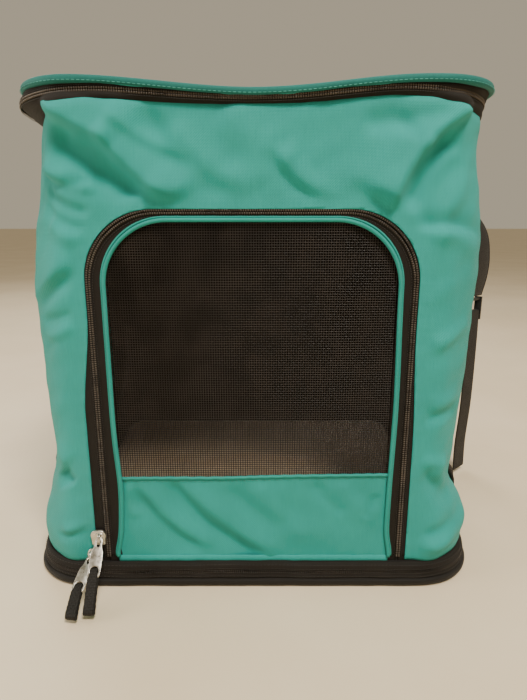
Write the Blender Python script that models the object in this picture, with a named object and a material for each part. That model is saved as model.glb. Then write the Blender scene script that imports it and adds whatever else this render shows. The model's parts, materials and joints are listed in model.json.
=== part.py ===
"""Soft-sided pet carrier backpack: walls, zipped front door, zipped lid, base, straps and zip hardware.

Metres, +Z up. The origin is the middle of the base on the ground, the front faces -Y.
"""
from math import cos, pi, radians, sin

import bmesh
import bpy
from mathutils import Matrix, Vector

# ---- driving dimensions ----
GAP = 0.0003  # between neighbouring pieces
FRONT, BACK = -0.140, 0.140  # outer faces of the front and back walls
WALL = 0.0024  # teal fabric with its lining
CORNER = 0.048  # radius of the body's upright corners
SIDE_SEAM_Y = -0.085  # where the front panel ends on each side
BACK_SEAM_X = 0.120  # where the side panels end on the back
# half width of the body at its heights, (z, half)
WALL_LEVELS = [(0.0205, 0.188), (0.050, 0.183), (0.090, 0.175), (0.200, 0.1725), (0.300, 0.174),
               (0.3675, 0.1705)]

BASE_TOP = 0.0195
BASE_FOOT = dict(half=0.195, front=-0.149, back=0.146, radius=0.055)
BASE_RIM = dict(half=0.190, front=-0.1435, back=0.142, radius=0.052)

DOOR_BOTTOM = 0.0245
SPLIT_HALF, SPLIT_TOP, SPLIT_RADIUS = 0.1222, 0.3062, 0.0522  # line on which the door's zip parts
COIL = 0.0012  # width of one row of zip teeth
TAPE_EDGE_HALF, TAPE_EDGE_TOP = 0.1324, 0.3095
PIPING_HALF, PIPING_TOP, PIPING_RADIUS, PIPING = 0.1127, 0.3026, 0.0495, 0.0047
WINDOW_SILL = 0.0963
DOOR_AXIS = (-0.1465, 0.0240)  # y, z

SIDE_WINDOW = dict(front=-0.072, back=0.078, low=0.100, high=0.302)
POCKET = dict(front=-0.070, back=0.082, low=0.046, high=0.165)

LID_LOW = 0.3680
LID_SPLIT = 0.3780
LID_RIM_LOW, LID_TOP = 0.3880, 0.3960
LID_RIM = dict(half=0.180, front=-0.1455, back=0.1435, radius=0.052)
LID_ZIP_HALF, LID_ZIP_FRONT, LID_ZIP_END_Y = 0.1735, -0.1405, 0.090
LID_AXIS = (0.1440, 0.3865)  # y, z

STRAP_AXIS = (0.162, 0.160)  # x, y of the upright line that each strap swings about
STRAP_OUT_ANGLE, STRAP_BACK_ANGLE = -48, 155  # directions of the right and (mirrored) left loops

TEAL, BLACK, TAN = (0.05, 0.36, 0.31), (0.012, 0.011, 0.010), (0.25, 0.17, 0.11)
NICKEL, BROWN_MESH, GREY = (0.62, 0.60, 0.57), (0.020, 0.014, 0.011), (0.05, 0.05, 0.05)


# ---- helpers ----
def material(name, colour, roughness, metallic=0.0):
    found = bpy.data.materials.get(name)
    if found:
        return found
    made = bpy.data.materials.new(name)
    made.use_nodes = True
    shader = made.node_tree.nodes["Principled BSDF"]
    shader.inputs["Base Color"].default_value = (*colour, 1)
    shader.inputs["Roughness"].default_value = roughness
    shader.inputs["Metallic"].default_value = metallic
    return made


def teal():
    return material("teal_fabric", TEAL, 0.85)


def black_tape():
    return material("black_tape", BLACK, 0.80)


def black_teeth():
    return material("black_teeth", BLACK, 0.45)


def webbing():
    return material("black_webbing", BLACK, 0.70)


def mesh_fabric():
    return material("black_mesh", BROWN_MESH, 0.75)


def nickel():
    return material("nickel", NICKEL, 0.30, 1.0)


def black_plastic():
    return material("black_plastic", BLACK, 0.40)


def board():
    return material("board", GREY, 0.60)


def shade(mesh):
    """Smooth shading over round parts, with edges kept sharp."""
    mesh.shade_smooth()
    mesh.set_sharp_from_angle(angle=radians(40))


def add_object(name, bm, finish, origin=(0, 0, 0)):
    """Make an object of a closed bmesh in world coordinates, with its origin moved to a joint's axis."""
    bmesh.ops.recalc_face_normals(bm, faces=bm.faces)
    mesh = bpy.data.meshes.new(name)
    bm.to_mesh(mesh)
    bm.free()
    mesh.transform(Matrix.Translation(-Vector(origin)))
    mesh.materials.append(finish)
    shade(mesh)
    thing = bpy.data.objects.new(name, mesh)
    thing.location = origin
    bpy.context.collection.objects.link(thing)
    return thing


def arc(centre, radius, start, stop, steps):
    """Points on an arc, angles in degrees."""
    turn = [radians(start + (stop - start) * i / steps) for i in range(steps + 1)]
    return [(centre[0] + radius * cos(t), centre[1] + radius * sin(t)) for t in turn]


def inset(half, front, back, radius, by):
    """Arguments of the same rounded rectangle, moved inwards."""
    return dict(half=half - by, front=front + by, back=back - by, radius=radius - by)


def rounded_rectangle(half, front, back, radius, steps=7):
    """Counter-clockwise plan outline."""
    corners = [(half - radius, back - radius, 0), (radius - half, back - radius, 90),
               (radius - half, front + radius, 180), (half - radius, front + radius, 270)]
    return [p for x, y, a in corners for p in arc((x, y), radius, a, a + 90, steps)]


def front_path(half, front, radius, end_y, steps=7):
    """From the left side's end_y, round the front, to the right side's end_y."""
    left = arc((radius - half, front + radius), radius, 180, 270, steps)
    right = arc((half - radius, front + radius), radius, 270, 360, steps)
    return [(-half, end_y)] + left + right + [(half, end_y)]


def side_path(half, start_y, back, radius, end_x, steps=7):
    """Up the right side and round the back corner."""
    return [(half, start_y)] + arc((half - radius, back - radius), radius, 0, 90, steps) + [(end_x, back)]


def offset_path(path, by, closed=False):
    """Move a path to its left by a distance, keeping its number of points."""
    moved = []
    for i, p in enumerate(path):
        p = Vector(p)
        before = Vector(path[i - 1]) if closed or i else None
        after = Vector(path[(i + 1) % len(path)]) if closed or i < len(path) - 1 else None
        sides = [(b - a).normalized() for a, b in ((before, p), (p, after)) if None not in (a, b)]
        along = sum(sides, Vector((0, 0))).normalized()
        stretch = 1 / max(along.dot(sides[0]), 0.3)
        moved.append(tuple(p + Vector((-along.y, along.x)) * by * stretch))
    return moved


def loft_wall(levels, thickness, closed=False):
    """A wall through plan paths at given heights, (z, path), thickened to the left of its path."""
    bm = bmesh.new()
    sheets = []
    for by in (0, thickness):
        rows = [(z, offset_path(path, by, closed)) for z, path in levels]
        sheets.append([[bm.verts.new((x, y, z)) for x, y in row] for z, row in rows])
    outer, inner = sheets
    count = len(outer[0])
    spans = range(count if closed else count - 1)
    for i in spans:
        j = (i + 1) % count
        for low, high in zip(range(len(levels) - 1), range(1, len(levels))):
            bm.faces.new((outer[low][i], outer[low][j], outer[high][j], outer[high][i]))
            bm.faces.new((inner[low][i], inner[high][i], inner[high][j], inner[low][j]))
        bm.faces.new((outer[0][i], inner[0][i], inner[0][j], outer[0][j]))
        bm.faces.new((outer[-1][i], outer[-1][j], inner[-1][j], inner[-1][i]))
    if not closed:
        for i in (0, count - 1):
            for low, high in zip(range(len(levels) - 1), range(1, len(levels))):
                bm.faces.new((outer[low][i], outer[high][i], inner[high][i], inner[low][i]))
    return bm


def prism(outline, low, high, plane="XY"):
    """Extrude a convex or simple outline between two levels of the third axis."""
    order = {"XY": (0, 1, 2), "XZ": (0, 2, 1), "YZ": (2, 0, 1)}[plane]
    bm = bmesh.new()
    ends = [[bm.verts.new([(u, v, w)[k] for k in order]) for u, v in outline] for w in (low, high)]
    for i in range(len(outline)):
        j = (i + 1) % len(outline)
        bm.faces.new((ends[0][i], ends[0][j], ends[1][j], ends[1][i]))
    bm.faces.new(list(reversed(ends[0])))
    bm.faces.new(ends[1])
    return bm


def box_bm(low, high):
    (x0, y0, z0), (x1, y1, z1) = low, high
    return prism([(x0, y0), (x1, y0), (x1, y1), (x0, y1)], z0, z1)


def rounded_box(u, v, radius, steps=4):
    """Outline of a rectangle between u = (low, high) and v = (low, high) with round corners."""
    corners = [(u[1] - radius, v[1] - radius, 0), (u[0] + radius, v[1] - radius, 90),
               (u[0] + radius, v[0] + radius, 180), (u[1] - radius, v[0] + radius, 270)]
    return [p for a, b, t in corners for p in arc((a, b), radius, t, t + 90, steps)]


def arch_outline(half, top, radius, low, steps=9):
    """Front view of a door shape: two legs and round upper corners, from right foot to left foot."""
    return ([(half, low)] + arc((half - radius, top - radius), radius, 0, 90, steps)
            + arc((radius - half, top - radius), radius, 90, 180, steps) + [(-half, low)])


def arch_band(outer, inner, low, y):
    """A band between two door-shaped outlines with the same number of points."""
    bm = bmesh.new()
    rows = [[bm.verts.new((u, depth, v)) for u, v in arch_outline(*shape, low)]
            for shape, depth in ((outer, y[0]), (inner, y[0]), (inner, y[1]), (outer, y[1]))]
    count = len(rows[0])
    for row, after in ((0, 1), (1, 2), (2, 3), (3, 0)):
        for i in range(count - 1):
            bm.faces.new((rows[row][i], rows[row][i + 1], rows[after][i + 1], rows[after][i]))
    for i in (0, count - 1):
        bm.faces.new([rows[k][i] for k in range(4)])
    return bm


def boolean(thing, cutter_bm, operation="DIFFERENCE"):
    """Cut a thing with a closed bmesh, and keep only the result."""
    cutter = add_object(thing.name + "_cutter", cutter_bm, thing.data.materials[0])
    cutter.hide_render = True
    cutter.display_type = "WIRE"
    modifier = thing.modifiers.new("cut", "BOOLEAN")
    modifier.operation = operation
    modifier.object = cutter
    bpy.context.view_layer.update()
    evaluated = thing.evaluated_get(bpy.context.evaluated_depsgraph_get())
    result = bpy.data.meshes.new_from_object(evaluated)
    thing.modifiers.clear()
    thing.data = result
    shade(result)
    bpy.data.objects.remove(cutter)
    return thing


def ribbon(path, widths, directions, thickness):
    """A flat strip along 3-D points, with its half width and width direction at each."""
    bm = bmesh.new()
    points = [Vector(p) for p in path]
    rings = []
    for i, p in enumerate(points):
        along = (points[min(i + 1, len(points) - 1)] - points[max(i - 1, 0)]).normalized()
        side = Vector(directions[i])
        side = (side - along * side.dot(along)).normalized()
        out = along.cross(side)
        half, thick = widths[i], thickness[i] / 2 if isinstance(thickness, list) else thickness / 2
        rings.append([bm.verts.new(p + side * a * half + out * b * thick)
                      for a, b in ((-1, -1), (1, -1), (1, 1), (-1, 1))])
    for ring, after in zip(rings, rings[1:]):
        for k in range(4):
            m = (k + 1) % 4
            bm.faces.new((ring[k], ring[m], after[m], after[k]))
    bm.faces.new(rings[0])
    bm.faces.new(rings[-1])
    return bm


def mirrored(bm):
    """Mirror a bmesh across X, keeping its faces outward."""
    bmesh.ops.scale(bm, vec=(-1, 1, 1), verts=bm.verts)
    bmesh.ops.reverse_faces(bm, faces=bm.faces)
    return bm


# ---- base ----
def plate(shape, by, low, high):
    return prism(rounded_rectangle(**inset(**shape, by=by)), low, high)


def base_ring(by_low, by_high, low, high, thickness):
    """A ring of the base between two levels, following the base's slope."""
    levels = []
    for z, by in ((low, by_low), (high, by_high)):
        share = z / BASE_TOP
        shape = {key: BASE_FOOT[key] + (BASE_RIM[key] - BASE_FOOT[key]) * share for key in BASE_FOOT}
        levels.append((z, rounded_rectangle(**inset(**shape, by=by))))
    return loft_wall(levels, thickness, closed=True)


def make_base():
    add_object("base_bottom_panel", plate(BASE_FOOT, 0.0078, 0.0, 0.0020), black_tape())
    add_object("base_lower_binding", base_ring(0, 0, 0.0, 0.0064, 0.0060), black_tape())
    add_object("base_board", plate(BASE_FOOT, 0.0095, 0.0024, 0.0056), board())
    add_object("base_zip_tape_lower", base_ring(0.001, 0.001, 0.0067, 0.0108, 0.0016), black_tape())
    add_object("base_zip_coil", base_ring(0.0002, 0.0002, 0.0111, 0.0137, 0.0022), black_teeth())
    add_object("base_zip_tape_upper", base_ring(0.001, 0.001, 0.0140, BASE_TOP, 0.0016), black_tape())
    add_object("floor_pad", plate(BASE_RIM, 0.0130, 0.0060, 0.0400), material("fleece", TAN, 0.95))


# ---- walls ----
def wall_levels(make_path):
    return [(z, make_path(half)) for z, half in WALL_LEVELS]


def right_wall(start_y, outward, thickness):
    """The right side wall from start_y round its back corner, moved outwards, as a bmesh."""
    def path(half):
        return side_path(half + outward, start_y, BACK + outward, CORNER + outward, BACK_SEAM_X + GAP)
    return loft_wall(wall_levels(path), thickness)


def side_half(z):
    """Half width of the body at a height."""
    for (z0, h0), (z1, h1) in zip(WALL_LEVELS, WALL_LEVELS[1:]):
        if z0 <= z <= z1:
            return h0 + (h1 - h0) * (z - z0) / (z1 - z0)
    raise ValueError(z)


def side_patch(front, back, heights, outward, thickness):
    """A flat patch that follows the right wall's slope between two y values."""
    levels = [(z, [(side_half(z) + outward, front), (side_half(z) + outward, back)]) for z in heights]
    return loft_wall(levels, thickness)


def window_cutter(margin):
    w = SIDE_WINDOW
    across, upright = (w["front"] + margin, w["back"] - margin), (w["low"] + margin, w["high"] - margin)
    return prism(rounded_box(across, upright, 0.025), 0.15, 0.21, "YZ")


def both_sides(name, make, finish, cut=None, operation="DIFFERENCE"):
    """A piece for the right side and its mirror image for the left."""
    for side in ("right", "left"):
        flip = (lambda bm: bm) if side == "right" else mirrored
        thing = add_object(f"{side}_{name}", flip(make()), finish)
        if cut:
            boolean(thing, flip(cut()), operation)


def make_walls():
    front = add_object("front_panel", loft_wall(wall_levels(
        lambda half: front_path(half, FRONT, CORNER, SIDE_SEAM_Y - GAP)), WALL), teal())
    opening = arch_outline(TAPE_EDGE_HALF + GAP, TAPE_EDGE_TOP + GAP, 0.0553, 0.0)
    boolean(front, prism(opening, -0.16, -0.12, "XZ"))
    both_sides("side_panel", lambda: right_wall(SIDE_SEAM_Y, 0, WALL), teal(), lambda: window_cutter(0))
    w = SIDE_WINDOW
    span, levels = (w["front"] - 0.01, w["back"] + 0.01), (0.09, 0.2, 0.3, 0.31)
    both_sides("side_mesh", lambda: side_patch(*span, levels, -0.0008, 0.0008), mesh_fabric(),
               lambda: window_cutter(GAP), "INTERSECT")
    p = POCKET
    sides, heights = (p["front"], p["back"]), (p["low"], 0.050, 0.090, p["high"])
    hem = (p["high"] + GAP, p["high"] + 0.011)
    both_sides("pocket_mesh", lambda: side_patch(*sides, heights, 0.0030, 0.0010), mesh_fabric())
    both_sides("pocket_binding", lambda: side_patch(*sides, hem, 0.0036, 0.0026), webbing())
    edge = BACK_SEAM_X - 0.0002
    add_object("back_panel", box_bm((-edge, BACK - WALL, WALL_LEVELS[0][0]), (edge, BACK, 0.3675)), webbing())
    stiff = rounded_box((-0.119, 0.119), (0.042, 0.362), 0.012)
    pad = rounded_box((-0.112, 0.112), (0.055, 0.287), 0.03)
    add_object("back_board", prism(stiff, BACK - 0.0057, BACK - 0.0027, "XZ"), board())
    add_object("back_padding", prism(pad, BACK + GAP, BACK + 0.0088, "XZ"), mesh_fabric())


# ---- front door ----
def make_door():
    outer_edge = (TAPE_EDGE_HALF, TAPE_EDGE_TOP, 0.0550)
    split_out = (SPLIT_HALF + GAP / 2, SPLIT_TOP + GAP / 2, SPLIT_RADIUS + GAP / 2)
    split_in = (SPLIT_HALF - GAP / 2, SPLIT_TOP - GAP / 2, SPLIT_RADIUS - GAP / 2)
    coil_out = tuple(v + COIL for v in split_out)
    coil_in = tuple(v - COIL for v in split_in)
    tape_y, coil_y = (FRONT + 0.0008, FRONT + 0.0020), (FRONT - 0.0012, FRONT + 0.0005)
    foot, axis = DOOR_BOTTOM, (0, *DOOR_AXIS)
    add_object("door_zip_tape_outer", arch_band(outer_edge, split_out, foot, tape_y), black_tape())
    add_object("door_zip_coil_outer", arch_band(coil_out, split_out, foot, coil_y), black_teeth())
    piping = (PIPING_HALF, PIPING_TOP, PIPING_RADIUS)
    piping_in = tuple(v - PIPING for v in piping)
    tape_in = tuple(v + GAP for v in piping)
    add_object("door_zip_tape_inner", arch_band(split_in, tape_in, foot, tape_y), black_tape(), axis)
    add_object("door_zip_coil_inner", arch_band(split_in, coil_in, foot, coil_y), black_teeth(), axis)
    piping_y = (FRONT - 0.0030, FRONT + 0.0020)
    add_object("door_binding", arch_band(piping, piping_in, foot, piping_y), teal(), axis)
    half, top, radius = (v - PIPING - GAP for v in piping)
    pane = arch_outline(half, top, radius, WINDOW_SILL + 0.0028)
    add_object("door_mesh", prism(pane, FRONT + 0.0006, FRONT + 0.0014, "XZ"), mesh_fabric(), axis)
    lower = box_bm((-half, FRONT, foot), (half, FRONT + 0.0020, WINDOW_SILL))
    sill = box_bm((-half, FRONT - 0.0010, WINDOW_SILL + GAP), (half, FRONT + 0.0020, WINDOW_SILL + 0.0025))
    add_object("door_lower_panel", lower, teal(), axis)
    add_object("door_sill_binding", sill, teal(), axis)


# ---- lid ----
def lid_ring(outward, low, high, thickness):
    path = front_path(LID_ZIP_HALF + outward, LID_ZIP_FRONT - outward, CORNER + outward, LID_ZIP_END_Y)
    return loft_wall([(low, path), (high, path)], thickness)


def make_lid():
    axis = (0, *LID_AXIS)
    add_object("lid_zip_tape_lower", lid_ring(0, LID_LOW, LID_SPLIT - GAP, 0.0012), black_tape())
    coil_low = lid_ring(0.0017, LID_SPLIT - 0.0014, LID_SPLIT - GAP, 0.0014)
    add_object("lid_zip_coil_lower", coil_low, black_teeth())
    add_object("lid_zip_tape_upper", lid_ring(0, LID_SPLIT, LID_RIM_LOW - GAP, 0.0012), black_tape(), axis)
    coil_high = lid_ring(0.0017, LID_SPLIT, LID_SPLIT + 0.0012, 0.0014)
    add_object("lid_zip_coil_upper", coil_high, black_teeth(), axis)
    ends = side_path(LID_ZIP_HALF, LID_ZIP_END_Y + GAP, -LID_ZIP_FRONT, CORNER, 0)[:-1]
    gusset = ends + [(-x, y) for x, y in reversed(ends)]
    add_object("lid_hinge_gusset", loft_wall([(z, gusset) for z in (LID_LOW, 0.3850)], 0.0012), black_tape())
    outline = rounded_rectangle(**LID_RIM)
    rim = loft_wall([(LID_RIM_LOW, outline), (LID_TOP, outline)], 0.0025, closed=True)
    add_object("lid_binding", rim, teal(), axis)
    wire = bpy.data.curves.new("lid_frame_wire", "CURVE")
    wire.dimensions = "3D"
    wire.bevel_depth = 0.0018
    wire.bevel_resolution = 2
    line = wire.splines.new("POLY")
    route = rounded_rectangle(**inset(**LID_RIM, by=0.0048))
    line.points.add(len(route) - 1)
    for point, (x, y) in zip(line.points, route):
        point.co = (x, y - LID_AXIS[0], 0.3920 - LID_AXIS[1], 1)
    line.use_cyclic_u = True
    wire.materials.append(material("spring_steel", (0.45, 0.45, 0.45), 0.4, 1.0))
    frame = bpy.data.objects.new("lid_frame_wire", wire)
    frame.location = axis
    bpy.context.collection.objects.link(frame)
    add_object("lid_panel", plate(LID_RIM, 0.0075, 0.3895, 0.3935), teal(), axis)


# ---- zip hardware ----
PULL_AXIS_HEIGHT = 0.0050  # of the pull's axis above the slider's underside
PULL_WIDTH, PULL_PLATE, PULL_THICK = 0.0080, 0.0300, 0.0014


def slider_bm(length, width):
    """A slider on its back: travel along Z, its underside at y = 0, facing -Y, its bridge in the middle."""
    nose = [(-0.30, 0.5), (0.30, 0.5), (0.5, 0.22), (0.42, -0.5), (-0.42, -0.5), (-0.5, 0.22)]
    body = prism([(u * width, v * length) for u, v in nose], -0.0030, 0, "XZ")
    bar, rise, reach = 0.0010, 0.0076, 0.0042
    bridge = [(-reach, -0.0028), (-reach, -rise), (reach, -rise), (reach, -0.0028), (reach - 0.0012, -0.0028),
              (reach - 0.0012, -rise + 0.0012), (0.0012 - reach, -rise + 0.0012), (0.0012 - reach, -0.0028)]
    staple = prism([(y, z) for z, y in bridge], -bar, bar, "YZ")
    return body, staple


def place(bm, matrix):
    bmesh.ops.transform(bm, matrix=matrix, verts=bm.verts)
    return bm


def make_slider(name, matrix, length, width, bridge_shift=0.0):
    """Slider body and bridge united, placed by a matrix from its own frame."""
    body, staple = slider_bm(length, width)
    bmesh.ops.translate(staple, vec=(bridge_shift, 0, 0), verts=staple.verts)
    thing = add_object(name, place(body, matrix), nickel(), matrix.translation)
    return boolean(thing, place(staple, matrix), "UNION")


def pull_plate_bm(length=PULL_PLATE):
    """A pull hanging along -Z from its axis at the origin, with an eye and a webbing slot."""
    half = PULL_WIDTH / 2
    outline = rounded_box((-half, half), (-length, 0.0009), 0.0022, 3)
    return prism(outline, -PULL_THICK / 2, PULL_THICK / 2, "XZ")


def pull_hole(v, half_width, radius):
    return prism(rounded_box((-half_width, half_width), v, radius, 2), -0.003, 0.003, "XZ")


def make_pull(name, matrix, length=PULL_PLATE, slot=True):
    thing = add_object(name, place(pull_plate_bm(length), matrix), nickel(), matrix.translation)
    boolean(thing, place(pull_hole((-0.0062, -0.0008), 0.0018, 0.0008), matrix))
    if slot:
        boolean(thing, place(pull_hole((0.0022 - length, 0.0082 - length), 0.0026, 0.0015), matrix))
    return thing


def pull_loop_bm(tip, lean):
    """Webbing below the pull: a flat loop along -Z that widens to a rolled end at z = -tip."""
    knee = -PULL_PLATE - 0.0030
    path = [(lean * 0.1, 0, knee), (lean * 0.7, 0, -tip + 0.006), (lean, 0, -tip)]
    return ribbon(path, [0.0035, 0.0037, 0.0040], [(1, 0, 0)] * 3, [0.0034, 0.0034, 0.0048])


def make_door_slider(level, x, z, length, bridge_x, slope, tip, lean):
    """One slider of the door's zip, its metal pull and its webbing loop, leaning out to the ground."""
    underside = FRONT - 0.0015
    make_slider(f"door_slider_{level}", Matrix.Translation((x, underside, z)), length, 0.0126, bridge_x - x)
    hang = Matrix.Rotation(radians(-slope), 4, "X")
    axis = Matrix.Translation((bridge_x, underside - PULL_AXIS_HEIGHT, z)) @ hang
    make_pull(f"door_pull_{level}", axis)
    add_object(f"door_pull_loop_{level}", place(pull_loop_bm(tip, lean), axis), webbing(), axis.translation)


def make_side_slider(side, sign):
    """A lid slider, parked at the hinge end of the zip on one side, its pull lying forward along the zip."""
    outer = LID_ZIP_HALF + 0.0020
    turn = Matrix.Translation((outer * sign, 0.080, LID_SPLIT)) @ Matrix.Rotation(pi / 2 * sign, 4, "Z")
    lie = turn @ Matrix.Rotation(pi / 2 * sign, 4, "Y")
    make_slider(f"{side}_lid_slider", lie, 0.0150, 0.0110)
    make_pull(f"{side}_lid_pull", lie @ Matrix.Translation((0, -PULL_AXIS_HEIGHT, 0)), 0.0260)


def make_hardware():
    make_door_slider("upper", -0.1288, 0.0440, 0.0130, -0.1272, 46, 0.0560, 0.0062)
    make_door_slider("lower", -0.1326, 0.0272, 0.0130, -0.1356, 63, 0.0495, 0.0005)
    make_side_slider("right", 1)
    make_side_slider("left", -1)
    turn = Matrix.Translation((0.095, BASE_RIM["back"] + 0.0026, 0.0118)) @ Matrix.Rotation(pi, 4, "Z")
    lie = turn @ Matrix.Rotation(pi / 2, 4, "Y")
    make_slider("base_slider", lie, 0.0130, 0.0100)
    make_pull("base_pull", lie @ Matrix.Translation((0, -PULL_AXIS_HEIGHT, 0)), 0.0240)


# ---- straps and handle ----
# (radius from the strap's axis, z) along the pad and along the webbing
STRAP_ROUTE = [(0.0042, 0.330), (0.022, 0.330), (0.042, 0.329), (0.062, 0.326), (0.090, 0.318),
               (0.112, 0.306), (0.126, 0.287), (0.131, 0.262), (0.1305, 0.240), (0.1295, 0.2185)]
STRAP_WIDTHS = [0.0125, 0.0125, 0.015, 0.0195, 0.022, 0.022, 0.022, 0.022, 0.022, 0.0165]
STRAP_THICK = [0.0022, 0.0022, 0.0040, 0.0070, 0.0085, 0.0085, 0.0085, 0.0085, 0.0080, 0.0050]
STRAP_TWIST = [0, 0, 25, 60, 90, 90, 90, 90, 90, 90]
WEB_ROUTE = [(0.0042, 0.0525), (0.020, 0.0530), (0.035, 0.056), (0.058, 0.070), (0.088, 0.098),
             (0.113, 0.142), (0.1245, 0.180), (0.1257, 0.1965), (0.1268, 0.2000), (0.1285, 0.2014),
             (0.1302, 0.2000), (0.1313, 0.1965), (0.1322, 0.150), (0.1320, 0.090), (0.1295, 0.040),
             (0.1300, 0.0060)]
WEB_TWIST = [0, 0, 30, 75] + [90] * 12


def swing(direction):
    """Matrix from a strap's own frame, +X outwards from the upright axis, to its place on the right side."""
    return Matrix.Translation((*STRAP_AXIS, 0)) @ Matrix.Rotation(radians(direction), 4, "Z")


def strap_ribbon(route, widths, twists, thickness):
    """A strip in the plane of the loop, whose width turns from upright (0) to across the plane (90)."""
    path = [(r, 0, z) for r, z in route]
    directions = []
    for i, twist in enumerate(twists):
        a, b = route[max(i - 1, 0)], route[min(i + 1, len(route) - 1)]
        along = Vector((b[0] - a[0], 0, b[1] - a[1])).normalized()
        upright = Vector((-along.z, 0, along.x))
        directions.append(upright * cos(radians(twist)) + Vector((0, 1, 0)) * sin(radians(twist)))
    return ribbon(path, widths, directions, thickness)


def lock_bm():
    """Ladder lock: two rails with an upper and a lower bar across them."""
    rail = [box_bm((0.1245, y - 0.0011, 0.1900), (0.1325, y + 0.0011, 0.2165)) for y in (-0.0150, 0.0150)]
    top = box_bm((0.1262, -0.0145, 0.2130), (0.1308, 0.0145, 0.2155))
    bar = prism(arc((0.1285, 0.1968), 0.0012, 0, 330, 11), -0.0145, 0.0145, "XZ")
    return rail, top, bar


def anchor_bm(low, high, level):
    """Webbing tab from the body's back corner out to just short of the strap's axis."""
    centre = Vector((side_half(level) - CORNER, BACK - CORNER))
    axis = Vector(STRAP_AXIS)
    away = (axis - centre).normalized()
    start, stop = centre + away * (CORNER + 0.0006), axis - away * 0.0040
    across = Vector((-away.y, away.x)) * 0.0010
    corners = (start - across, stop - across, stop + across, start + across)
    return prism([tuple(p) for p in corners], low, high)


def make_straps():
    for side, direction in (("right", STRAP_OUT_ANGLE), ("left", STRAP_BACK_ANGLE)):
        flip = (lambda bm: bm) if side == "right" else mirrored
        origin = (STRAP_AXIS[0] * (1 if side == "right" else -1), STRAP_AXIS[1], 0)
        turn = swing(direction)
        pad = strap_ribbon(STRAP_ROUTE, STRAP_WIDTHS, STRAP_TWIST, STRAP_THICK)
        add_object(f"{side}_strap_pad", flip(place(pad, turn)), webbing(), origin)
        web = strap_ribbon(WEB_ROUTE, [0.0125] * len(WEB_ROUTE), WEB_TWIST, 0.0016)
        add_object(f"{side}_strap_webbing", flip(place(web, turn)), webbing(), origin)
        rails, top, bar = lock_bm()
        lock = add_object(f"{side}_ladder_lock", flip(place(rails[0], turn)), black_plastic(), origin)
        for piece in (rails[1], top, bar):
            boolean(lock, flip(place(piece, turn)), "UNION")
        add_object(f"{side}_upper_anchor", flip(anchor_bm(0.3175, 0.3425, 0.330)), webbing())
        add_object(f"{side}_lower_anchor", flip(anchor_bm(0.0400, 0.0650, 0.0525)), webbing())


def make_handle():
    axis_y, axis_z = BACK + 0.0066, 0.3500
    arch = [(-0.0450, 0.3495), (-0.0445, 0.336), (-0.040, 0.322), (-0.029, 0.3125), (-0.012, 0.309)]
    route = [(x, axis_y, z) for x, z in arch + [(-x, z) for x, z in reversed(arch)]]
    sides = []
    for i in range(len(route)):
        a, b = Vector(route[max(i - 1, 0)]), Vector(route[min(i + 1, len(route) - 1)])
        sides.append((b - a).cross(Vector((0, 1, 0))))
    bm = ribbon(route, [0.0080] * len(route), sides, 0.0032)
    add_object("grab_handle", bm, webbing(), (0, axis_y, axis_z))
    for side, x in (("right", 0.045), ("left", -0.045)):
        tab = box_bm((x - 0.0125, BACK + GAP, 0.3440), (x + 0.0125, axis_y - 0.0019, 0.3660))
        add_object(f"{side}_handle_anchor", tab, webbing())


def main():
    for thing in list(bpy.data.objects):
        bpy.data.objects.remove(thing)
    make_base()
    make_walls()
    make_door()
    make_lid()
    make_hardware()
    make_straps()
    make_handle()


main()
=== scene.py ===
"""Looks of the soft-sided pet carrier backpack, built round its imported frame.

Metres, +Z up, the front faces -Y. Every piece is made in place, in the frame's own coordinates.
"""
import json
from math import cos, pi, radians, sin

import bpy
import numpy as np
from mathutils import Matrix, Vector


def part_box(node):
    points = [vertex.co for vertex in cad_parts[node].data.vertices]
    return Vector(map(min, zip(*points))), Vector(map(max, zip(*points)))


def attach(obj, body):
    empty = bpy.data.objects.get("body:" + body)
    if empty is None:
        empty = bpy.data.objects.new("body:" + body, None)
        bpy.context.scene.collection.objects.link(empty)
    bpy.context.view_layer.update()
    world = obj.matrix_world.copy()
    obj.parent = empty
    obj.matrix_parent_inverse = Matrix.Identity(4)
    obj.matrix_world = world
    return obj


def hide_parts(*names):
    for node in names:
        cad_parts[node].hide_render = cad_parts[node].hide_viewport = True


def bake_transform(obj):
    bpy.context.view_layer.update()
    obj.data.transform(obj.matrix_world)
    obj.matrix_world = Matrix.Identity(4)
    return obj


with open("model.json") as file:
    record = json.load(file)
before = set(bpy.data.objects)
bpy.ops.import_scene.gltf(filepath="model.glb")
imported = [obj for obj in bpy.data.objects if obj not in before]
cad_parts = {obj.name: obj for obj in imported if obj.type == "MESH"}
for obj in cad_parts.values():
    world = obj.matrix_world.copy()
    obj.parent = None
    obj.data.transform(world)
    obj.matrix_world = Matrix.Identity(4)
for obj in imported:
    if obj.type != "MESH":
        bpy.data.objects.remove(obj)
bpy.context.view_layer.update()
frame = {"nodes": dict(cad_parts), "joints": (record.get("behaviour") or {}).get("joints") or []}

# ---- places taken from the frame ----
FRONT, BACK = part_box("front_panel")[0].y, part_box("back_panel")[1].y
WALL_LOW, WALL_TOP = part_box("front_panel")[0].z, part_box("front_panel")[1].z
BACK_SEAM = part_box("back_panel")[1].x + 0.0004  # where the side fabric ends on the back
SIDE_SEAM_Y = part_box("front_panel")[1].y
CORNER = 0.048  # radius of the body's upright corners, as in the frame
FRONT_FLAT = 0.126  # half width of the front between its corners
QUARTER = CORNER * pi / 2

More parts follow.
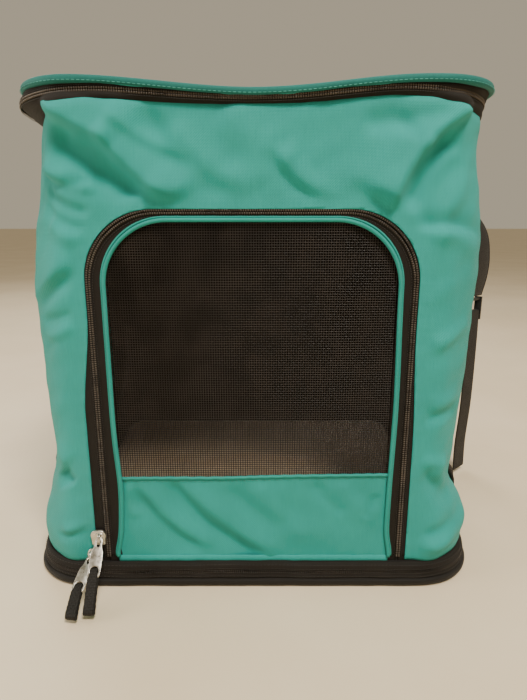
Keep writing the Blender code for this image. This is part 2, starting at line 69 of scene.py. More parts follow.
DOOR_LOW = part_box("door_lower_panel")[0].z
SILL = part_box("door_lower_panel")[1].z
TAPE_HALF, TAPE_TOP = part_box("door_zip_tape_outer")[1].x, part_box("door_zip_tape_outer")[1].z
SPLIT_HALF, SPLIT_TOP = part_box("door_zip_tape_inner")[1].x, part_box("door_zip_tape_inner")[1].z
PIPING_HALF, PIPING_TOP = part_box("door_binding")[1].x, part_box("door_binding")[1].z
ARCH_DROP = 0.0545  # corner radius of the door's zip at its outer edge
SPLIT_RADIUS = 0.0522  # and at its split
DOOR_STEP = 0.0022  # between points along the door's lines

WINDOW_LOW, WINDOW_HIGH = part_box("right_side_mesh")
POCKET_LOW, POCKET_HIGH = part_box("right_pocket_mesh")
POCKET_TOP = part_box("right_pocket_binding")[1].z

RIM_LOW, RIM_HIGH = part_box("lid_binding")
RIM_RADIUS = 0.052
LID_COIL_LOW, LID_COIL_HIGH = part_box("lid_zip_coil_upper")
LID_COIL_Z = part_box("lid_zip_coil_upper")[0].z

FOOT_LOW, FOOT_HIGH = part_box("base_lower_binding")
BASE_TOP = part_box("base_zip_tape_upper")[1].z
FOOT_RADIUS = 0.055

STRAP_AXIS = (0.162, 0.160)
BACK_TURN, OUT_TURN = 155, -48  # directions of the left and the right strap's loop
STITCH, STITCH_PITCH = (0.0024, 0.0006, 0.0006), 0.0034


# ---- arithmetic ----
def ease(t):
    """0 to 1, smooth at both ends."""
    t = np.clip(t, 0, 1)
    return t * t * (3 - 2 * t)


def hill(d, width):
    return np.exp(-np.square(d / width))


def smooth_rows(rows, per, closed=False):
    """Rows of numbers on a smooth curve through a few rows, a set count for each stretch."""
    p = np.array(rows, float)
    if closed:
        p = np.vstack([p[-1:], p, p[:2]])
    else:
        p = np.vstack([2 * p[0] - p[1], p, 2 * p[-1] - p[-2]])
    t = np.linspace(0, 1, per, endpoint=False)[:, None]
    parts = []
    for a, b, c, d in zip(p, p[1:], p[2:], p[3:]):
        bend, twist = 2 * a - 5 * b + 4 * c - d, 3 * b - a - 3 * c + d
        parts.append(0.5 * (2 * b + (c - a) * t + bend * t**2 + twist * t**3))
    return np.vstack(parts if closed else parts + [p[-2:-1]])


def through(points, step, closed=False):
    """Dense points on a smooth curve through a few."""
    return spaced(smooth_rows(points, 16, closed), step, closed)


def run_along(line):
    """Distance from a line's start to each of its points."""
    return np.concatenate([[0], np.cumsum(np.linalg.norm(np.diff(line, axis=0), axis=1))])


def spaced(points, step, closed=False):
    """The same line with points about one step apart."""
    p = np.array(points, float)
    if closed:
        p = np.vstack([p, p[:1]])
    run = run_along(p)
    count = max(2, int(round(run[-1] / step)) + 1)
    at = np.linspace(0, run[-1], count)
    if closed:
        at = at[:-1]
    return np.stack([np.interp(at, run, p[:, k]) for k in range(p.shape[1])], 1)


def directions(path, closed=False):
    """Unit direction at each point of a line."""
    p = np.array(path, float)
    if closed:
        d = np.roll(p, -1, 0) - np.roll(p, 1, 0)
    else:
        d = np.gradient(p, axis=0)
    return d / np.linalg.norm(d, axis=1, keepdims=True)


def unit(v):
    return v / np.maximum(np.linalg.norm(v, axis=-1, keepdims=True), 1e-12)


def outward(line, closed=True):
    """Level direction to the right of a line, which is out of a counter-clockwise loop."""
    d = directions(line, closed)
    return np.stack([d[:, 1], -d[:, 0], 0 * d[:, 0]], 1)


def ripple(u, v, seed, size):
    """Smooth wandering between -1 and 1, about one size across."""
    rng = np.random.default_rng(seed)
    total = 0
    for _ in range(7):
        turn, phase, stretch = rng.uniform(0, 2 * pi, 2).tolist() + [rng.uniform(0.6, 1.5)]
        total = total + np.sin((u * cos(turn) + v * sin(turn)) * 2 * pi / (size * stretch) + phase)
    return total / 4.5


# ---- meshes ----
def make_mesh(name, verts, faces, finishes, uv=None, marks=None, smooth=True):
    """A mesh object of vertices and faces, with only the vertices that its faces use."""
    sizes = [len(f) for f in faces]
    flat = np.concatenate([np.asarray(f) for f in faces]) if faces else np.zeros(0, int)
    used, index = np.unique(flat, return_inverse=True)
    mesh = bpy.data.meshes.new(name)
    mesh.vertices.add(len(used))
    mesh.vertices.foreach_set("co", np.asarray(verts, float)[used].astype(np.float32).ravel())
    mesh.loops.add(len(flat))
    mesh.loops.foreach_set("vertex_index", index.astype(np.int32))
    mesh.polygons.add(len(sizes))
    mesh.polygons.foreach_set("loop_start", np.concatenate([[0], np.cumsum(sizes)[:-1]]).astype(np.int32))
    for finish in finishes:
        mesh.materials.append(finish)
    if marks is not None:
        mesh.polygons.foreach_set("material_index", np.asarray(marks, np.int32))
    if uv is not None:
        layer = mesh.uv_layers.new(name="weave")
        layer.data.foreach_set("uv", np.asarray(uv, float)[flat].astype(np.float32).ravel())
    mesh.update(calc_edges=True)
    mesh.validate()
    if smooth:
        mesh.shade_smooth()
    thing = bpy.data.objects.new(name, mesh)
    bpy.context.scene.collection.objects.link(thing)
    return thing


def grid_index(n, m, closed=False, round_too=False):
    """Vertex numbers of a grid, its first row or column repeated at the end where it closes."""
    at = np.arange(n * m).reshape(n, m)
    at = np.vstack([at, at[:1]]) if closed else at
    return np.hstack([at, at[:, :1]]) if round_too else at


def tube_quads(n, k, closed=False):
    """Faces round a tube of n rings of k vertices, and the faces that close its ends."""
    at = grid_index(n, k, closed, True)
    quads = np.stack([at[:-1, :-1], at[:-1, 1:], at[1:, 1:], at[1:, :-1]], -1).reshape(-1, 4)
    return quads, [] if closed else [at[0, :k][::-1], at[-1, :k]]


def grid_normals(p, closed=False):
    if closed:
        di = np.roll(p, -1, 0) - np.roll(p, 1, 0)
    else:
        di = np.gradient(p, axis=0)
    return unit(np.cross(di, np.gradient(p, axis=1)))


def cloth(name, p, uv, finishes, thick, keep=None, closed=False):
    """A closed sheet: a grid of points on its outer side, thickened inwards, with its open edges walled."""
    n, m = p.shape[:2]
    at = grid_index(n, m, closed)
    if keep is None:
        keep = np.ones((at.shape[0] - 1, m - 1), bool)
    corners = np.stack([at[:-1, :-1], at[1:, :-1], at[1:, 1:], at[:-1, 1:]], -1)
    quads = corners[keep]
    around = np.pad(keep, ((1, 1), (0, 0)), mode="wrap") if closed else np.pad(keep, ((1, 1), (0, 0)))
    around = np.pad(around, ((0, 0), (1, 1)))
    edges = []
    for di, dj, a, b in ((0, -1, 0, 1), (1, 0, 1, 2), (0, 1, 2, 3), (-1, 0, 3, 0)):
        beside = around[1 + di:around.shape[0] - 1 + di, 1 + dj:around.shape[1] - 1 + dj]
        edges.append(corners[keep & ~beside][:, [a, b]])
    edges = np.concatenate(edges)
    inner = p - grid_normals(p, closed) * thick
    verts = np.concatenate([p.reshape(-1, 3), inner.reshape(-1, 3)])
    count = n * m
    rim = np.stack([edges[:, 1], edges[:, 0], edges[:, 0] + count, edges[:, 1] + count], 1)
    faces = np.concatenate([quads, quads[:, ::-1] + count, rim])
    marks = np.repeat([0, len(finishes) - 1, 0], [len(quads), len(quads), len(rim)])
    flat_uv = np.concatenate([uv.reshape(-1, 2)] * 2)
    return make_mesh(name, verts, list(faces), finishes, flat_uv, marks)


def sweep(name, path, outs, profile, finish, closed=False):
    """A closed solid along a line, from a profile of (across, outwards), the same or one per point."""
    path = np.asarray(path, float)
    along = directions(path, closed)
    outs = np.broadcast_to(np.asarray(outs, float), path.shape)
    across = unit(np.cross(along, outs))
    outs = np.cross(across, along)
    shape = np.asarray(profile, float)
    if shape.ndim == 2:
        shape = np.broadcast_to(shape, (len(path), *shape.shape))
    verts = path[:, None] + across[:, None] * shape[..., :1] + outs[:, None] * shape[..., 1:]
    n, k = verts.shape[:2]
    quads, ends = tube_quads(n, k, closed)
    faces = list(quads) + ends
    run = run_along(path)
    girth = run_along(shape[0])
    uv = np.stack(np.broadcast_arrays(run[:, None], girth[None, :]), -1).reshape(-1, 2)
    return make_mesh(name, verts.reshape(-1, 3), faces, [finish], uv)


def oval(width, height, count=12, square=2.0):
    """Profile of a round or softly squared strip."""
    t = np.linspace(0, 2 * pi, count, endpoint=False)
    c, s = np.cos(t), np.sin(t)
    power = 2.0 / square
    return np.stack([np.sign(c) * abs(c) ** power * width / 2, np.sign(s) * abs(s) ** power * height / 2],
                    1)


def grains(name, points, alongs, outs, size, finish):
    """Many small rounded beads, such as zip teeth or stitches. The size is (length, width, height)."""
    alongs, outs = unit(np.asarray(alongs, float)), unit(np.asarray(outs, float))
    across = unit(np.cross(alongs, outs))
    outs = np.cross(across, alongs)
    turn = np.linspace(0, 2 * pi, 6, endpoint=False)
    ring = [np.stack([np.full(6, e), 0.86 * np.cos(turn), 0.86 * np.sin(turn)], 1) for e in (-0.66, 0.66)]
    shape = np.vstack([[[-1, 0, 0]], ring[0], ring[1], [[1, 0, 0]]]) * np.array(size) / 2
    verts = (np.asarray(points)[:, None] + alongs[:, None] * shape[None, :, :1]
             + across[:, None] * shape[None, :, 1:2] + outs[:, None] * shape[None, :, 2:])
    one = []
    for k in range(6):
        j = (k + 1) % 6
        one += [[0, 1 + j, 1 + k], [1 + k, 1 + j, 7 + j, 7 + k], [13, 7 + k, 7 + j]]
    faces = [np.array(f) + 14 * i for i in range(len(verts)) for f in one]
    uv = np.zeros((len(verts) * 14, 2))
    uv[:, 0] = np.repeat(np.arange(len(verts)) * 0.01, 14)
    return make_mesh(name, verts.reshape(-1, 3), faces, [finish], uv)


def joined(things, name):
    """Several meshes as one piece."""
    target = things[0]
    with bpy.context.temp_override(active_object=target, selected_editable_objects=things,
                                   selected_objects=things):
        bpy.ops.object.join()
    target.name = name
    return target


def settle(thing, body, slot, *nodes):
    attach(thing, body)
    if nodes:
        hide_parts(*nodes)
    return thing


# ---- materials ----
class Paint:
    """A Principled material with a short way to add nodes."""

    def __init__(self, name, roughness, metallic=0.0, **constants):
        self.made = bpy.data.materials.new(name)
        self.made.use_nodes = True
        self.tree = self.made.node_tree
        self.shader = self.tree.nodes["Principled BSDF"]
        self.shader.inputs["Roughness"].default_value = roughness
        self.shader.inputs["Metallic"].default_value = metallic
        for key, value in constants.items():
            self.shader.inputs[key.replace("_", " ")].default_value = value

    def node(self, kind, inputs, **settings):
        made = self.tree.nodes.new(kind)
        for key, value in settings.items():
            setattr(made, key, value)
        for key, value in inputs.items():
            if isinstance(value, bpy.types.NodeSocket):
                self.tree.links.new(value, made.inputs[key])
            else:
                made.inputs[key].default_value = value
        return made

    def calc(self, operation, a, b=0.0):
        return self.node("ShaderNodeMath", {0: a, 1: b}, operation=operation).outputs[0]

    def weave_place(self):
        return self.node("ShaderNodeUVMap", {}, uv_map="weave").outputs[0]

    def object_place(self):
        return self.node("ShaderNodeTexCoord", {}).outputs["Object"]

    def noise(self, place, scale, detail=3.0):
        inputs = {"Vector": place, "Scale": scale, "Detail": detail, "Roughness": 0.6}
        return self.node("ShaderNodeTexNoise", inputs).outputs["Fac"]

    def ramp(self, value, low, high, out_low=0.0, out_high=1.0):
        inputs = {"Value": value, "From Min": low, "From Max": high, "To Min": out_low, "To Max": out_high}
        return self.node("ShaderNodeMapRange", inputs).outputs[0]

    def mix(self, share, a, b):
        made = self.node("ShaderNodeMix", {}, data_type="RGBA")
        for socket, value in ((made.inputs[0], share), (made.inputs[6], a), (made.inputs[7], b)):
            if isinstance(value, bpy.types.NodeSocket):
                self.tree.links.new(value, socket)
            else:
                socket.default_value = value if isinstance(value, float) else (*value, 1)
        return made.outputs[2]

    def plain_weave(self, place, pitch_u, pitch_v):
        """Height of threads going over and under, from 0 to 1."""
        split = self.node("ShaderNodeSeparateXYZ", {0: place})
        u = self.calc("DIVIDE", split.outputs[0], pitch_u)
        v = self.calc("DIVIDE", split.outputs[1], pitch_v)
        cells = self.calc("ADD", self.calc("FLOOR", u), self.calc("FLOOR", v))
        odd = self.calc("ABSOLUTE", self.calc("MODULO", cells, 2.0))
        rib_u = self.calc("ABSOLUTE", self.calc("SINE", self.calc("MULTIPLY", u, pi)))
        rib_v = self.calc("ABSOLUTE", self.calc("SINE", self.calc("MULTIPLY", v, pi)))
        on = self.calc("MULTIPLY", rib_u, odd)
        off = self.calc("MULTIPLY", rib_v, self.calc("SUBTRACT", 1.0, odd))
        return self.calc("ADD", on, off)

    def finish(self, colour=None, heights=(), roughness=None):
        """Link colour and roughness, and bump from (height, metres deep) pairs."""
        if colour is not None:
            self.tree.links.new(colour, self.shader.inputs["Base Color"])
        if roughness is not None:
            self.tree.links.new(roughness, self.shader.inputs["Roughness"])
        normal = None
        for height, depth in heights:
            inputs = {"Height": height, "Distance": depth, "Strength": 1.0}
            if normal is not None:
                inputs["Normal"] = normal
            normal = self.node("ShaderNodeBump", inputs).outputs[0]
        if normal is not None:
            self.tree.links.new(normal, self.shader.inputs["Normal"])
        return self.made


def canvas(name, deep, light, pitch=0.0009, depth=0.00022, sheen=0.05):
    """Coated polyester canvas: fine weave, faint thread streaks, soft patches and a little dust."""
    paint = Paint(name, 0.62, Sheen_Weight=sheen, Sheen_Roughness=0.5)
    paint.shader.inputs["Specular IOR Level"].default_value = 0.22
    place = paint.weave_place()
    height = paint.plain_weave(place, pitch, pitch)
    patches = paint.noise(place, 14.0, 4.0)
    streak = paint.node("ShaderNodeMapping", {"Vector": place, "Scale": (900.0, 60.0, 1.0)}).outputs[0]
    threads = paint.noise(streak, 1.0, 2.0)
    tone = paint.calc("ADD", paint.calc("MULTIPLY", patches, 0.55), paint.calc("MULTIPLY", threads, 0.25))
    # the weave's height also darkens the colour between threads: painted shade in the weave's low places
    tone = paint.calc("ADD", tone, paint.calc("MULTIPLY", height, 0.30))
    colour = paint.mix(paint.ramp(tone, 0.25, 0.85), deep, light)
    dust = paint.ramp(paint.noise(place, 6.0, 6.0), 0.58, 0.80, 0.0, 0.22)
    grey = tuple(0.5 * c + 0.5 * sum(light) / 3 for c in light)
    colour = paint.mix(dust, colour, grey)
    rough = paint.ramp(patches, 0.3, 0.7, 0.55, 0.70)
    return paint.finish(colour, [(patches, 0.0006), (height, depth)], rough)


def ribbed(name, deep, light, pitch, depth, roughness=0.7, cross=None):
    """Woven tape or webbing, with ribs along its length and finer ones across."""
    paint = Paint(name, roughness, Sheen_Weight=0.03, Sheen_Roughness=0.5)
    paint.shader.inputs["Specular IOR Level"].default_value = 0.28
    place = paint.weave_place()
    height = paint.plain_weave(place, pitch, cross or pitch * 1.6)
    wear = paint.noise(place, 40.0, 5.0)
    # colour follows the ribs' height as well as wear: painted shade in the low places between ribs, with
    # real wear noise
    tone = paint.calc("ADD", paint.calc("MULTIPLY", height, 0.5), paint.calc("MULTIPLY", wear, 0.5))
    colour = paint.mix(paint.ramp(tone, 0.25, 0.8), deep, light)
    rough = paint.ramp(wear, 0.3, 0.7, roughness - 0.08, roughness + 0.1)
    return paint.finish(colour, [(height, depth)], rough)


def nylon(name, deep, light, roughness):
    """Moulded or extruded plastic with fine speckle."""
    paint = Paint(name, roughness)
    place = paint.object_place()
    speckle = paint.noise(place, 900.0, 2.0)
    cloud = paint.noise(place, 60.0, 3.0)
    colour = paint.mix(paint.ramp(cloud, 0.35, 0.7), deep, light)
    rough = paint.ramp(cloud, 0.3, 0.7, roughness - 0.08, roughness + 0.12)
    return paint.finish(colour, [(speckle, 0.00003)], rough)


def metal(name, deep, light, roughness):
    """Nickel plate with handling marks."""
    paint = Paint(name, roughness, 1.0)
    place = paint.object_place()
    scratch = paint.node("ShaderNodeMapping", {"Vector": place,
                                               "Scale": (1500.0, 1500.0, 160.0)}).outputs[0]
    lines = paint.noise(scratch, 1.0, 2.0)
    cloud = paint.noise(place, 220.0, 3.0)
    colour = paint.mix(paint.ramp(cloud, 0.35, 0.7), deep, light)
    rough = paint.ramp(cloud, 0.3, 0.7, roughness - 0.06, roughness + 0.14)
    return paint.finish(colour, [(lines, 0.00002), (cloud, 0.00006)], rough)


def plush(name, deep, light):
    """Short-pile fleece."""
    paint = Paint(name, 0.95, Sheen_Weight=0.6, Sheen_Roughness=0.6)
    place = paint.object_place()
    pile = paint.noise(place, 700.0, 4.0)
    tufts = paint.noise(place, 110.0, 4.0)
    tone = paint.calc("ADD", paint.calc("MULTIPLY", pile, 0.5), paint.calc("MULTIPLY", tufts, 0.5))
    colour = paint.mix(paint.ramp(tone, 0.35, 0.65), deep, light)
    return paint.finish(colour, [(tufts, 0.0016), (pile, 0.0005)])


def plain_floor():
    paint = Paint("studio_floor", 0.55)
    place = paint.object_place()
    grain = paint.noise(place, 3.0, 6.0)
    colour = paint.mix(paint.ramp(grain, 0.3, 0.7), (0.70, 0.57, 0.38), (0.78, 0.65, 0.46))
    return paint.finish(colour, [(grain, 0.0004)])


TEAL_DEEP, TEAL_LIGHT = (0.008, 0.238, 0.212), (0.024, 0.392, 0.356)
teal = canvas("teal_canvas", TEAL_DEEP, TEAL_LIGHT)
teal_edge = canvas("teal_edge", (0.006, 0.200, 0.170), (0.020, 0.330, 0.285), 0.0006, 0.00008)
rim_cloth = canvas("rim_binding", (0.004, 0.095, 0.082), (0.012, 0.175, 0.152), 0.0006, 0.00008)
teal_thread = nylon("teal_thread", (0.030, 0.230, 0.200), (0.070, 0.380, 0.340), 0.55)
lining = canvas("black_lining", (0.006, 0.005, 0.004), (0.016, 0.012, 0.009), 0.0009, 0.00010, 0.03)
tape = ribbed("zip_tape", (0.0035, 0.0026, 0.0018), (0.013, 0.0095, 0.0065), 0.0011, 0.00016, 0.78, 0.0007)
# door and lid coil teeth: brown-black nylon painted lighter, a painted highlight standing in for the glints
# on the coil
teeth = nylon("zip_teeth", (0.045, 0.034, 0.025), (0.115, 0.088, 0.064), 0.30)
# the same coil nylon painted darker for the base's zip: painted shade low on the bag
teeth_painted_shade = nylon("base_zip_teeth_painted_shade", (0.010, 0.0075, 0.0055), (0.030, 0.022, 0.016), 0.34)
black_thread = nylon("black_thread", (0.010, 0.008, 0.007), (0.030, 0.024, 0.020), 0.5)
webbing = ribbed("black_webbing", (0.0035, 0.0028, 0.0020), (0.013, 0.0100, 0.0070), 0.0020, 0.00030, 0.66,
                 0.0011)
cloth_black = canvas("black_canvas", (0.0040, 0.0032, 0.0024), (0.013, 0.0105, 0.0080), 0.0009, 0.00016,
                     0.05)
strand = nylon("mesh_strand", (0.010, 0.007, 0.005), (0.030, 0.022, 0.017), 0.42)
fleece = plush("tan_fleece", (0.46, 0.31, 0.18), (0.80, 0.60, 0.39))
nickel = metal("nickel_plate", (0.50, 0.47, 0.42), (0.74, 0.71, 0.65), 0.30)
strand_cloth = ribbed("spacer_mesh", (0.0035, 0.0030, 0.0024), (0.018, 0.0145, 0.0110), 0.0032, 0.0007,
                      0.75, 0.0032)
steel = metal("spring_steel_wire", (0.30, 0.30, 0.30), (0.48, 0.47, 0.46), 0.38)
plastic = nylon("black_plastic", (0.008, 0.008, 0.008), (0.022, 0.021, 0.020), 0.38)
board = canvas("board_cover", (0.006, 0.005, 0.0045), (0.014, 0.012, 0.011), 0.0012, 0.00014, 0.05)


# ---- the wall's shape ----
def wall_levels():
    """Half width of the frame's wall at each of its levels."""
    widest = {}
    for v in frame["nodes"]["front_panel"].data.vertices:
        z = round(v.co.z, 4)
        widest[z] = max(widest.get(z, 0.0), abs(v.co.x))
    top = max(widest.values())
    return np.array(sorted((z, w) for z, w in widest.items() if w > 0.85 * top))


LEVELS = wall_levels()
# how far the slack fabric stands out of the frame's wall at some heights, (height, out) on each side
LEFT_SLACK = [(0.0205, 0.000), (0.042, 0.002), (0.078, 0.004), (0.114, 0.0005), (0.154, 0.002),
              (0.214, 0.005),
              (0.270, 0.001), (0.322, -0.006), (0.352, -0.008), (0.378, -0.011)]
RIGHT_SLACK = [(0.0205, 0.000), (0.045, 0.0025), (0.062, 0.003), (0.080, -0.003), (0.114, 0.002),
               (0.194, 0.007),
               (0.222, 0.008), (0.270, 0.009), (0.322, 0.005), (0.352, 0.0015), (0.378, 0.005)]
ARCH_END = FRONT_FLAT + QUARTER  # unrolled distance at which each front corner ends
FLAT_START = 0.100  # inside this the unrolled distance is x itself
SIDE_RUN = BACK - FRONT - 2 * CORNER
WRAP_END = ARCH_END + SIDE_RUN + QUARTER


def slack(z, points):
    curve = through(points, 0.001)
    return np.interp(z, curve[:, 0], curve[:, 1])


def wall(u, z):
    """Place and outward direction on the unfolded wall; u is unrolled from the front's middle."""
    size, side = abs(u), np.sign(u) + (u == 0)
    half = np.interp(z, LEVELS[:, 0], LEVELS[:, 1])
    flat = half - CORNER
    share = (size - FLAT_START) / (ARCH_END - FLAT_START)
    run = FLAT_START + share * (flat + QUARTER - FLAT_START)
    front = np.where(size < FLAT_START, size, np.minimum(run, flat))
    turn = np.clip((run - flat) / CORNER, 0, pi / 2)
    turn = np.where(size < FLAT_START, 0, turn)
    beside = np.clip(size - ARCH_END, 0, SIDE_RUN)
    back_turn = np.clip((size - ARCH_END - SIDE_RUN) / CORNER, 0, pi / 2)
    behind = np.clip(size - WRAP_END, 0, None)
    x = front + CORNER * np.sin(turn) - CORNER * (1 - np.cos(back_turn)) - behind
    y = FRONT + CORNER * (1 - np.cos(turn)) + beside + CORNER * np.sin(back_turn)
    stand = np.where(u < 0, slack(z, LEFT_SLACK), slack(z, RIGHT_SLACK))
    x = x + stand * ease((x - 0.136) / 0.03) * (1 - 0.45 * ease((y - FRONT - 0.09) / 0.19))
    nx = np.sin(turn) * np.cos(back_turn)
    ny = -np.cos(turn) + np.sin(back_turn)
    place = np.stack([x * side, y, z + 0 * x], -1)
    out = unit(np.stack([nx * side, ny, 0 * nx], -1))
    return place, out


def round_box(x, z, low, high, radius):
    """Signed distance to a rounded rectangle, below zero inside."""
    cx, cz = (low[0] + high[0]) / 2, (low[1] + high[1]) / 2
    qx = abs(x - cx) - (high[0] - low[0]) / 2 + radius
    qz = abs(z - cz) - (high[1] - low[1]) / 2 + radius
    return np.hypot(np.maximum(qx, 0), np.maximum(qz, 0)) + np.minimum(np.maximum(qx, qz), 0) - radius


DOOR_HOLE = dict(low=(-TAPE_HALF + 0.0002, -0.3), high=(TAPE_HALF - 0.0002, SPLIT_TOP + 0.0019),
                 radius=ARCH_DROP - 0.002)


def door_gap(u, z):
    """Distance from the front's opening for the door, whose hem covers more of the tape higher up."""
    place, _ = wall(u, z)
    spare = TAPE_HALF - SPLIT_HALF - 0.0030
    left, right = spare * ease((z - 0.15) / 0.08), spare * (0.55 + 0.45 * ease((z - 0.12) / 0.10))
    x = place[..., 0]
    gap = round_box(x + np.where(x < 0, -left, right), z, **DOOR_HOLE)
    return np.where(place[..., 1] < FRONT + 0.03, gap, 1.0)


def u_of_y(y):
    """Unrolled distance of a place on the side."""
    return ARCH_END + y - FRONT - CORNER


WINDOW = dict(low=(u_of_y(WINDOW_LOW.y), WINDOW_LOW.z), high=(u_of_y(WINDOW_HIGH.y), WINDOW_HIGH.z),
              radius=0.025)


def window_gap(u, z):
    return round_box(abs(u), z, **WINDOW)


# folds of the front and sides: from u, z to u, z in unrolled millimetres, width, height, steeper side
FOLD_DEPTH = 1.7  # of the table's heights
FOLDS = [
    (-150, 385, -98, 355, 8.5, 5.6, -0.8), (-106, 361, -50, 311, 9, 5.4, -0.8),
    (-142, 361, -78, 318, 12, -4.2, 0.0), (-78, 372, -14, 314, 12.5, -3.4, 0.3),
    (-100, 375, -45, 345, 6, 1.8, -0.5), (-20, 372, 30, 340, 15, 1.6, 0.0),
    (-60, 360, -5, 318, 12, 1.6, 0.0), (-160, 340, -110, 322, 5.5, 2.4, -0.5),
    (-165, 331, -118, 326, 4, -1.8, 0.0), (-155, 322, -118, 305, 4.5, -1.8, 0.3),
    (-160, 312, -122, 293, 5, -1.6, 0.3), (-150, 300, -125, 285, 6, 1.5, 0.0),
    (-185, 240, -134, 272, 6, 2.4, -0.6), (-180, 230, -134, 262, 6, -1.6, 0.0),
    (-165, 225, -136, 232, 4.5, -1.3, 0.3), (-160, 212, -136, 222, 4, 1.2, 0.0),
    (-158, 98, -150, 88, 7.5, -4.2, 0.0), (-165, 120, -150, 108, 9, 1.8, 0.0),
    (-150, 50, -134, 58, 4, 1.3, 0.0), (-155, 43, -134, 50, 3.5, -1.3, 0.0),
    (156, 378, 120, 350, 7.5, 5.2, 0.8), (124, 354, 98, 310, 8, 5.4, 0.8),
    (146, 360, 114, 308, 8, -4.6, 0.0), (80, 366, 140, 376, 7.5, -2.2, 0.0),
    (12, 345, 50, 311, 4.5, -1.7, 0.5), (20, 348, 60, 314, 7, 1.2, 0.0),
    (150, 342, 124, 296, 6, -1.7, 0.0), (162, 335, 134, 286, 6.5, 1.5, 0.0),
    (178, 290, 122, 297, 5, -2.6, 0.4), (170, 276, 134, 292, 8, 2.2, 0.0),
    (170, 222, 140, 205, 6, 1.8, 0.0), (165, 150, 136, 146, 6, -2.2, 0.4),
    (172, 160, 140, 156, 7.5, 1.8, 0.0), (136, 112, 160, 108, 5.5, 1.8, 0.0),
    (138, 100, 172, 74, 6, -2.4, 0.4), (150, 106, 180, 68, 7.5, 1.6, 0.0),
    (136, 34, 190, 52, 7.5, 2.6, 0.0), (140, 44, 180, 62, 6, -1.8, 0.0),
    (-205, 330, -235, 220, 11, -2.6, 0.0), (-210, 90, -260, 60, 11, 2.6, 0.0),
    (215, 340, 225, 240, 11, -2.4, 0.0), (210, 95, 262, 50, 12, 2.8, 0.0),
    (-300, 88, -340, 52, 10, -2.2, 0.0), (300, 88, 345, 55, 10, -2.2, 0.0),
    (-395, 350, -380, 230, 12, 2.4, 0.0), (392, 345, 380, 215, 12, 2.4, 0.0),
    (-405, 180, -375, 60, 13, -2.6, 0.0), (408, 190, 378, 70, 13, -2.6, 0.0),
]


def fold_height(u, z, folds):
    total = 0
    for *sizes, lean in folds:
        au, az, bu, bz, width, height = (size / 1000 for size in sizes)
        length = np.hypot(bu - au, bz - az)
        du, dz = (bu - au) / length, (bz - az) / length
        t = ((u - au) * du + (z - az) * dz) / length
        n = (u - au) * -dz + (z - az) * du + 0.06 * length * np.sin(pi * np.clip(t, 0, 1))
        n = n * (1 + lean * np.tanh(n / width) * 0.8)
        window = ease(t / 0.25 + 0.35) * ease((1 - t) / 0.25 + 0.35)
        total = total + height * hill(n, width) * window
    return total


def wall_folds(u, z):
    """Height of folds, puckers and seams over the plain wall."""
    door, window = door_gap(u, z), window_gap(u, z)
    near_door = 0.08 + 0.92 * ease((door - 0.002) / 0.014)
    near_window = 0.15 + 0.85 * ease((window - 0.001) / 0.016)
    low = ease((z - WALL_LOW) / 0.020)
    outline = ease((abs(u) - 0.148) / 0.020) * (1 - ease((abs(u) - 0.205) / 0.020))
    total = FOLD_DEPTH * fold_height(u, z, FOLDS) * near_door * near_window * (1 - 0.6 * outline)
    total = total + 0.0011 * ripple(u, z, 4, 0.075) * near_door * near_window * low
    total = total + 0.0005 * ripple(u, z, 9, 0.024) * near_door * near_window * low
    upright = ease((0.300 - z) / 0.03)
    edge = np.where(upright > 0.5, z, u)
    wide = np.sin(edge * 2 * pi / 0.0115 + 1.7 * np.sin(edge * 55))
    pucker = 0.6 * wide + 0.4 * np.sin(edge * 2 * pi / 0.0068)
    total = total + (0.0008 + 0.00034 * pucker) * np.exp(-np.maximum(door, 0) / 0.007) * (door < 0.5)
    total = total + 0.00045 * np.sin(np.where(abs(window) < 1, u + z,
                                              0) * 2 * pi / 0.012) * np.exp(-abs(window) / 0.006)
    total = total + 0.0030 * hill(door - 0.020, 0.012) * (0.5 + 0.5 * upright)
    seam = abs(u) - u_of_y(SIDE_SEAM_Y)
    total = total - 0.0011 * hill(seam, 0.0014) + 0.0006 * hill(abs(seam) - 0.0035, 0.0024)
    total = total - 0.0022 * hill((wall_top(u) - z) / 0.0035, 1) - 0.0012 * hill((z - WALL_LOW) / 0.003, 1)
    total = total + 0.0030 * hill((z - WALL_LOW - 0.022), 0.018) * ease((abs(u) - 0.134) / 0.02)
    return total


# height of the fabric's upper edge along the unrolled distance
TOPS = through([(-0.50, 0.3690), (-0.24, 0.3690), (-0.200, 0.3715), (-0.158, 0.3765), (-0.128, 0.3812),
                (-0.105, 0.3830), (-0.075, 0.3822), (-0.045, 0.3810), (0.0, 0.3806), (0.035, 0.3815),
                (0.066, 0.3840),
                (0.095, 0.3860), (0.115, 0.3852), (0.140, 0.3812), (0.165, 0.3775), (0.200, 0.3720),
                (0.24, 0.3690),
                (0.50, 0.3690)], 0.002)


def wall_top(u):
    return np.interp(u, TOPS[:, 0], TOPS[:, 1])


def on_wall(u, z, out=0.0):
    place, normal = wall(u, z)
    return place + normal * (wall_folds(u, z) + out)[..., None]


CELL = 0.0023  # size of the wall grid's cells


def snapped(u, z, gap):
    """Cells outside an opening, after moving the vertices round it onto its edge."""
    inside = gap(u, z) < 0
    count = inside[:-1, :-1].astype(int) + inside[1:, :-1] + inside[1:, 1:] + inside[:-1, 1:]
    keep = count < 4
    touched = np.zeros_like(inside)
    part = keep & (count > 0)
    for a, b in ((0, 0), (1, 0), (1, 1), (0, 1)):
        touched[a:touched.shape[0] - 1 + a, b:touched.shape[1] - 1 + b] |= part
    move = inside & touched
    step = 1e-4
    for _ in range(4):
        d = gap(u, z)
        gu = (gap(u + step, z) - gap(u - step, z)) / (2 * step)
        gz = (gap(u, z + step) - gap(u, z - step)) / (2 * step)
        scale = np.maximum(gu**2 + gz**2, 0.3)
        u = np.where(move, u - d * gu / scale, u)
        z = np.where(move, z - d * gz / scale, z)
    return u, z, keep


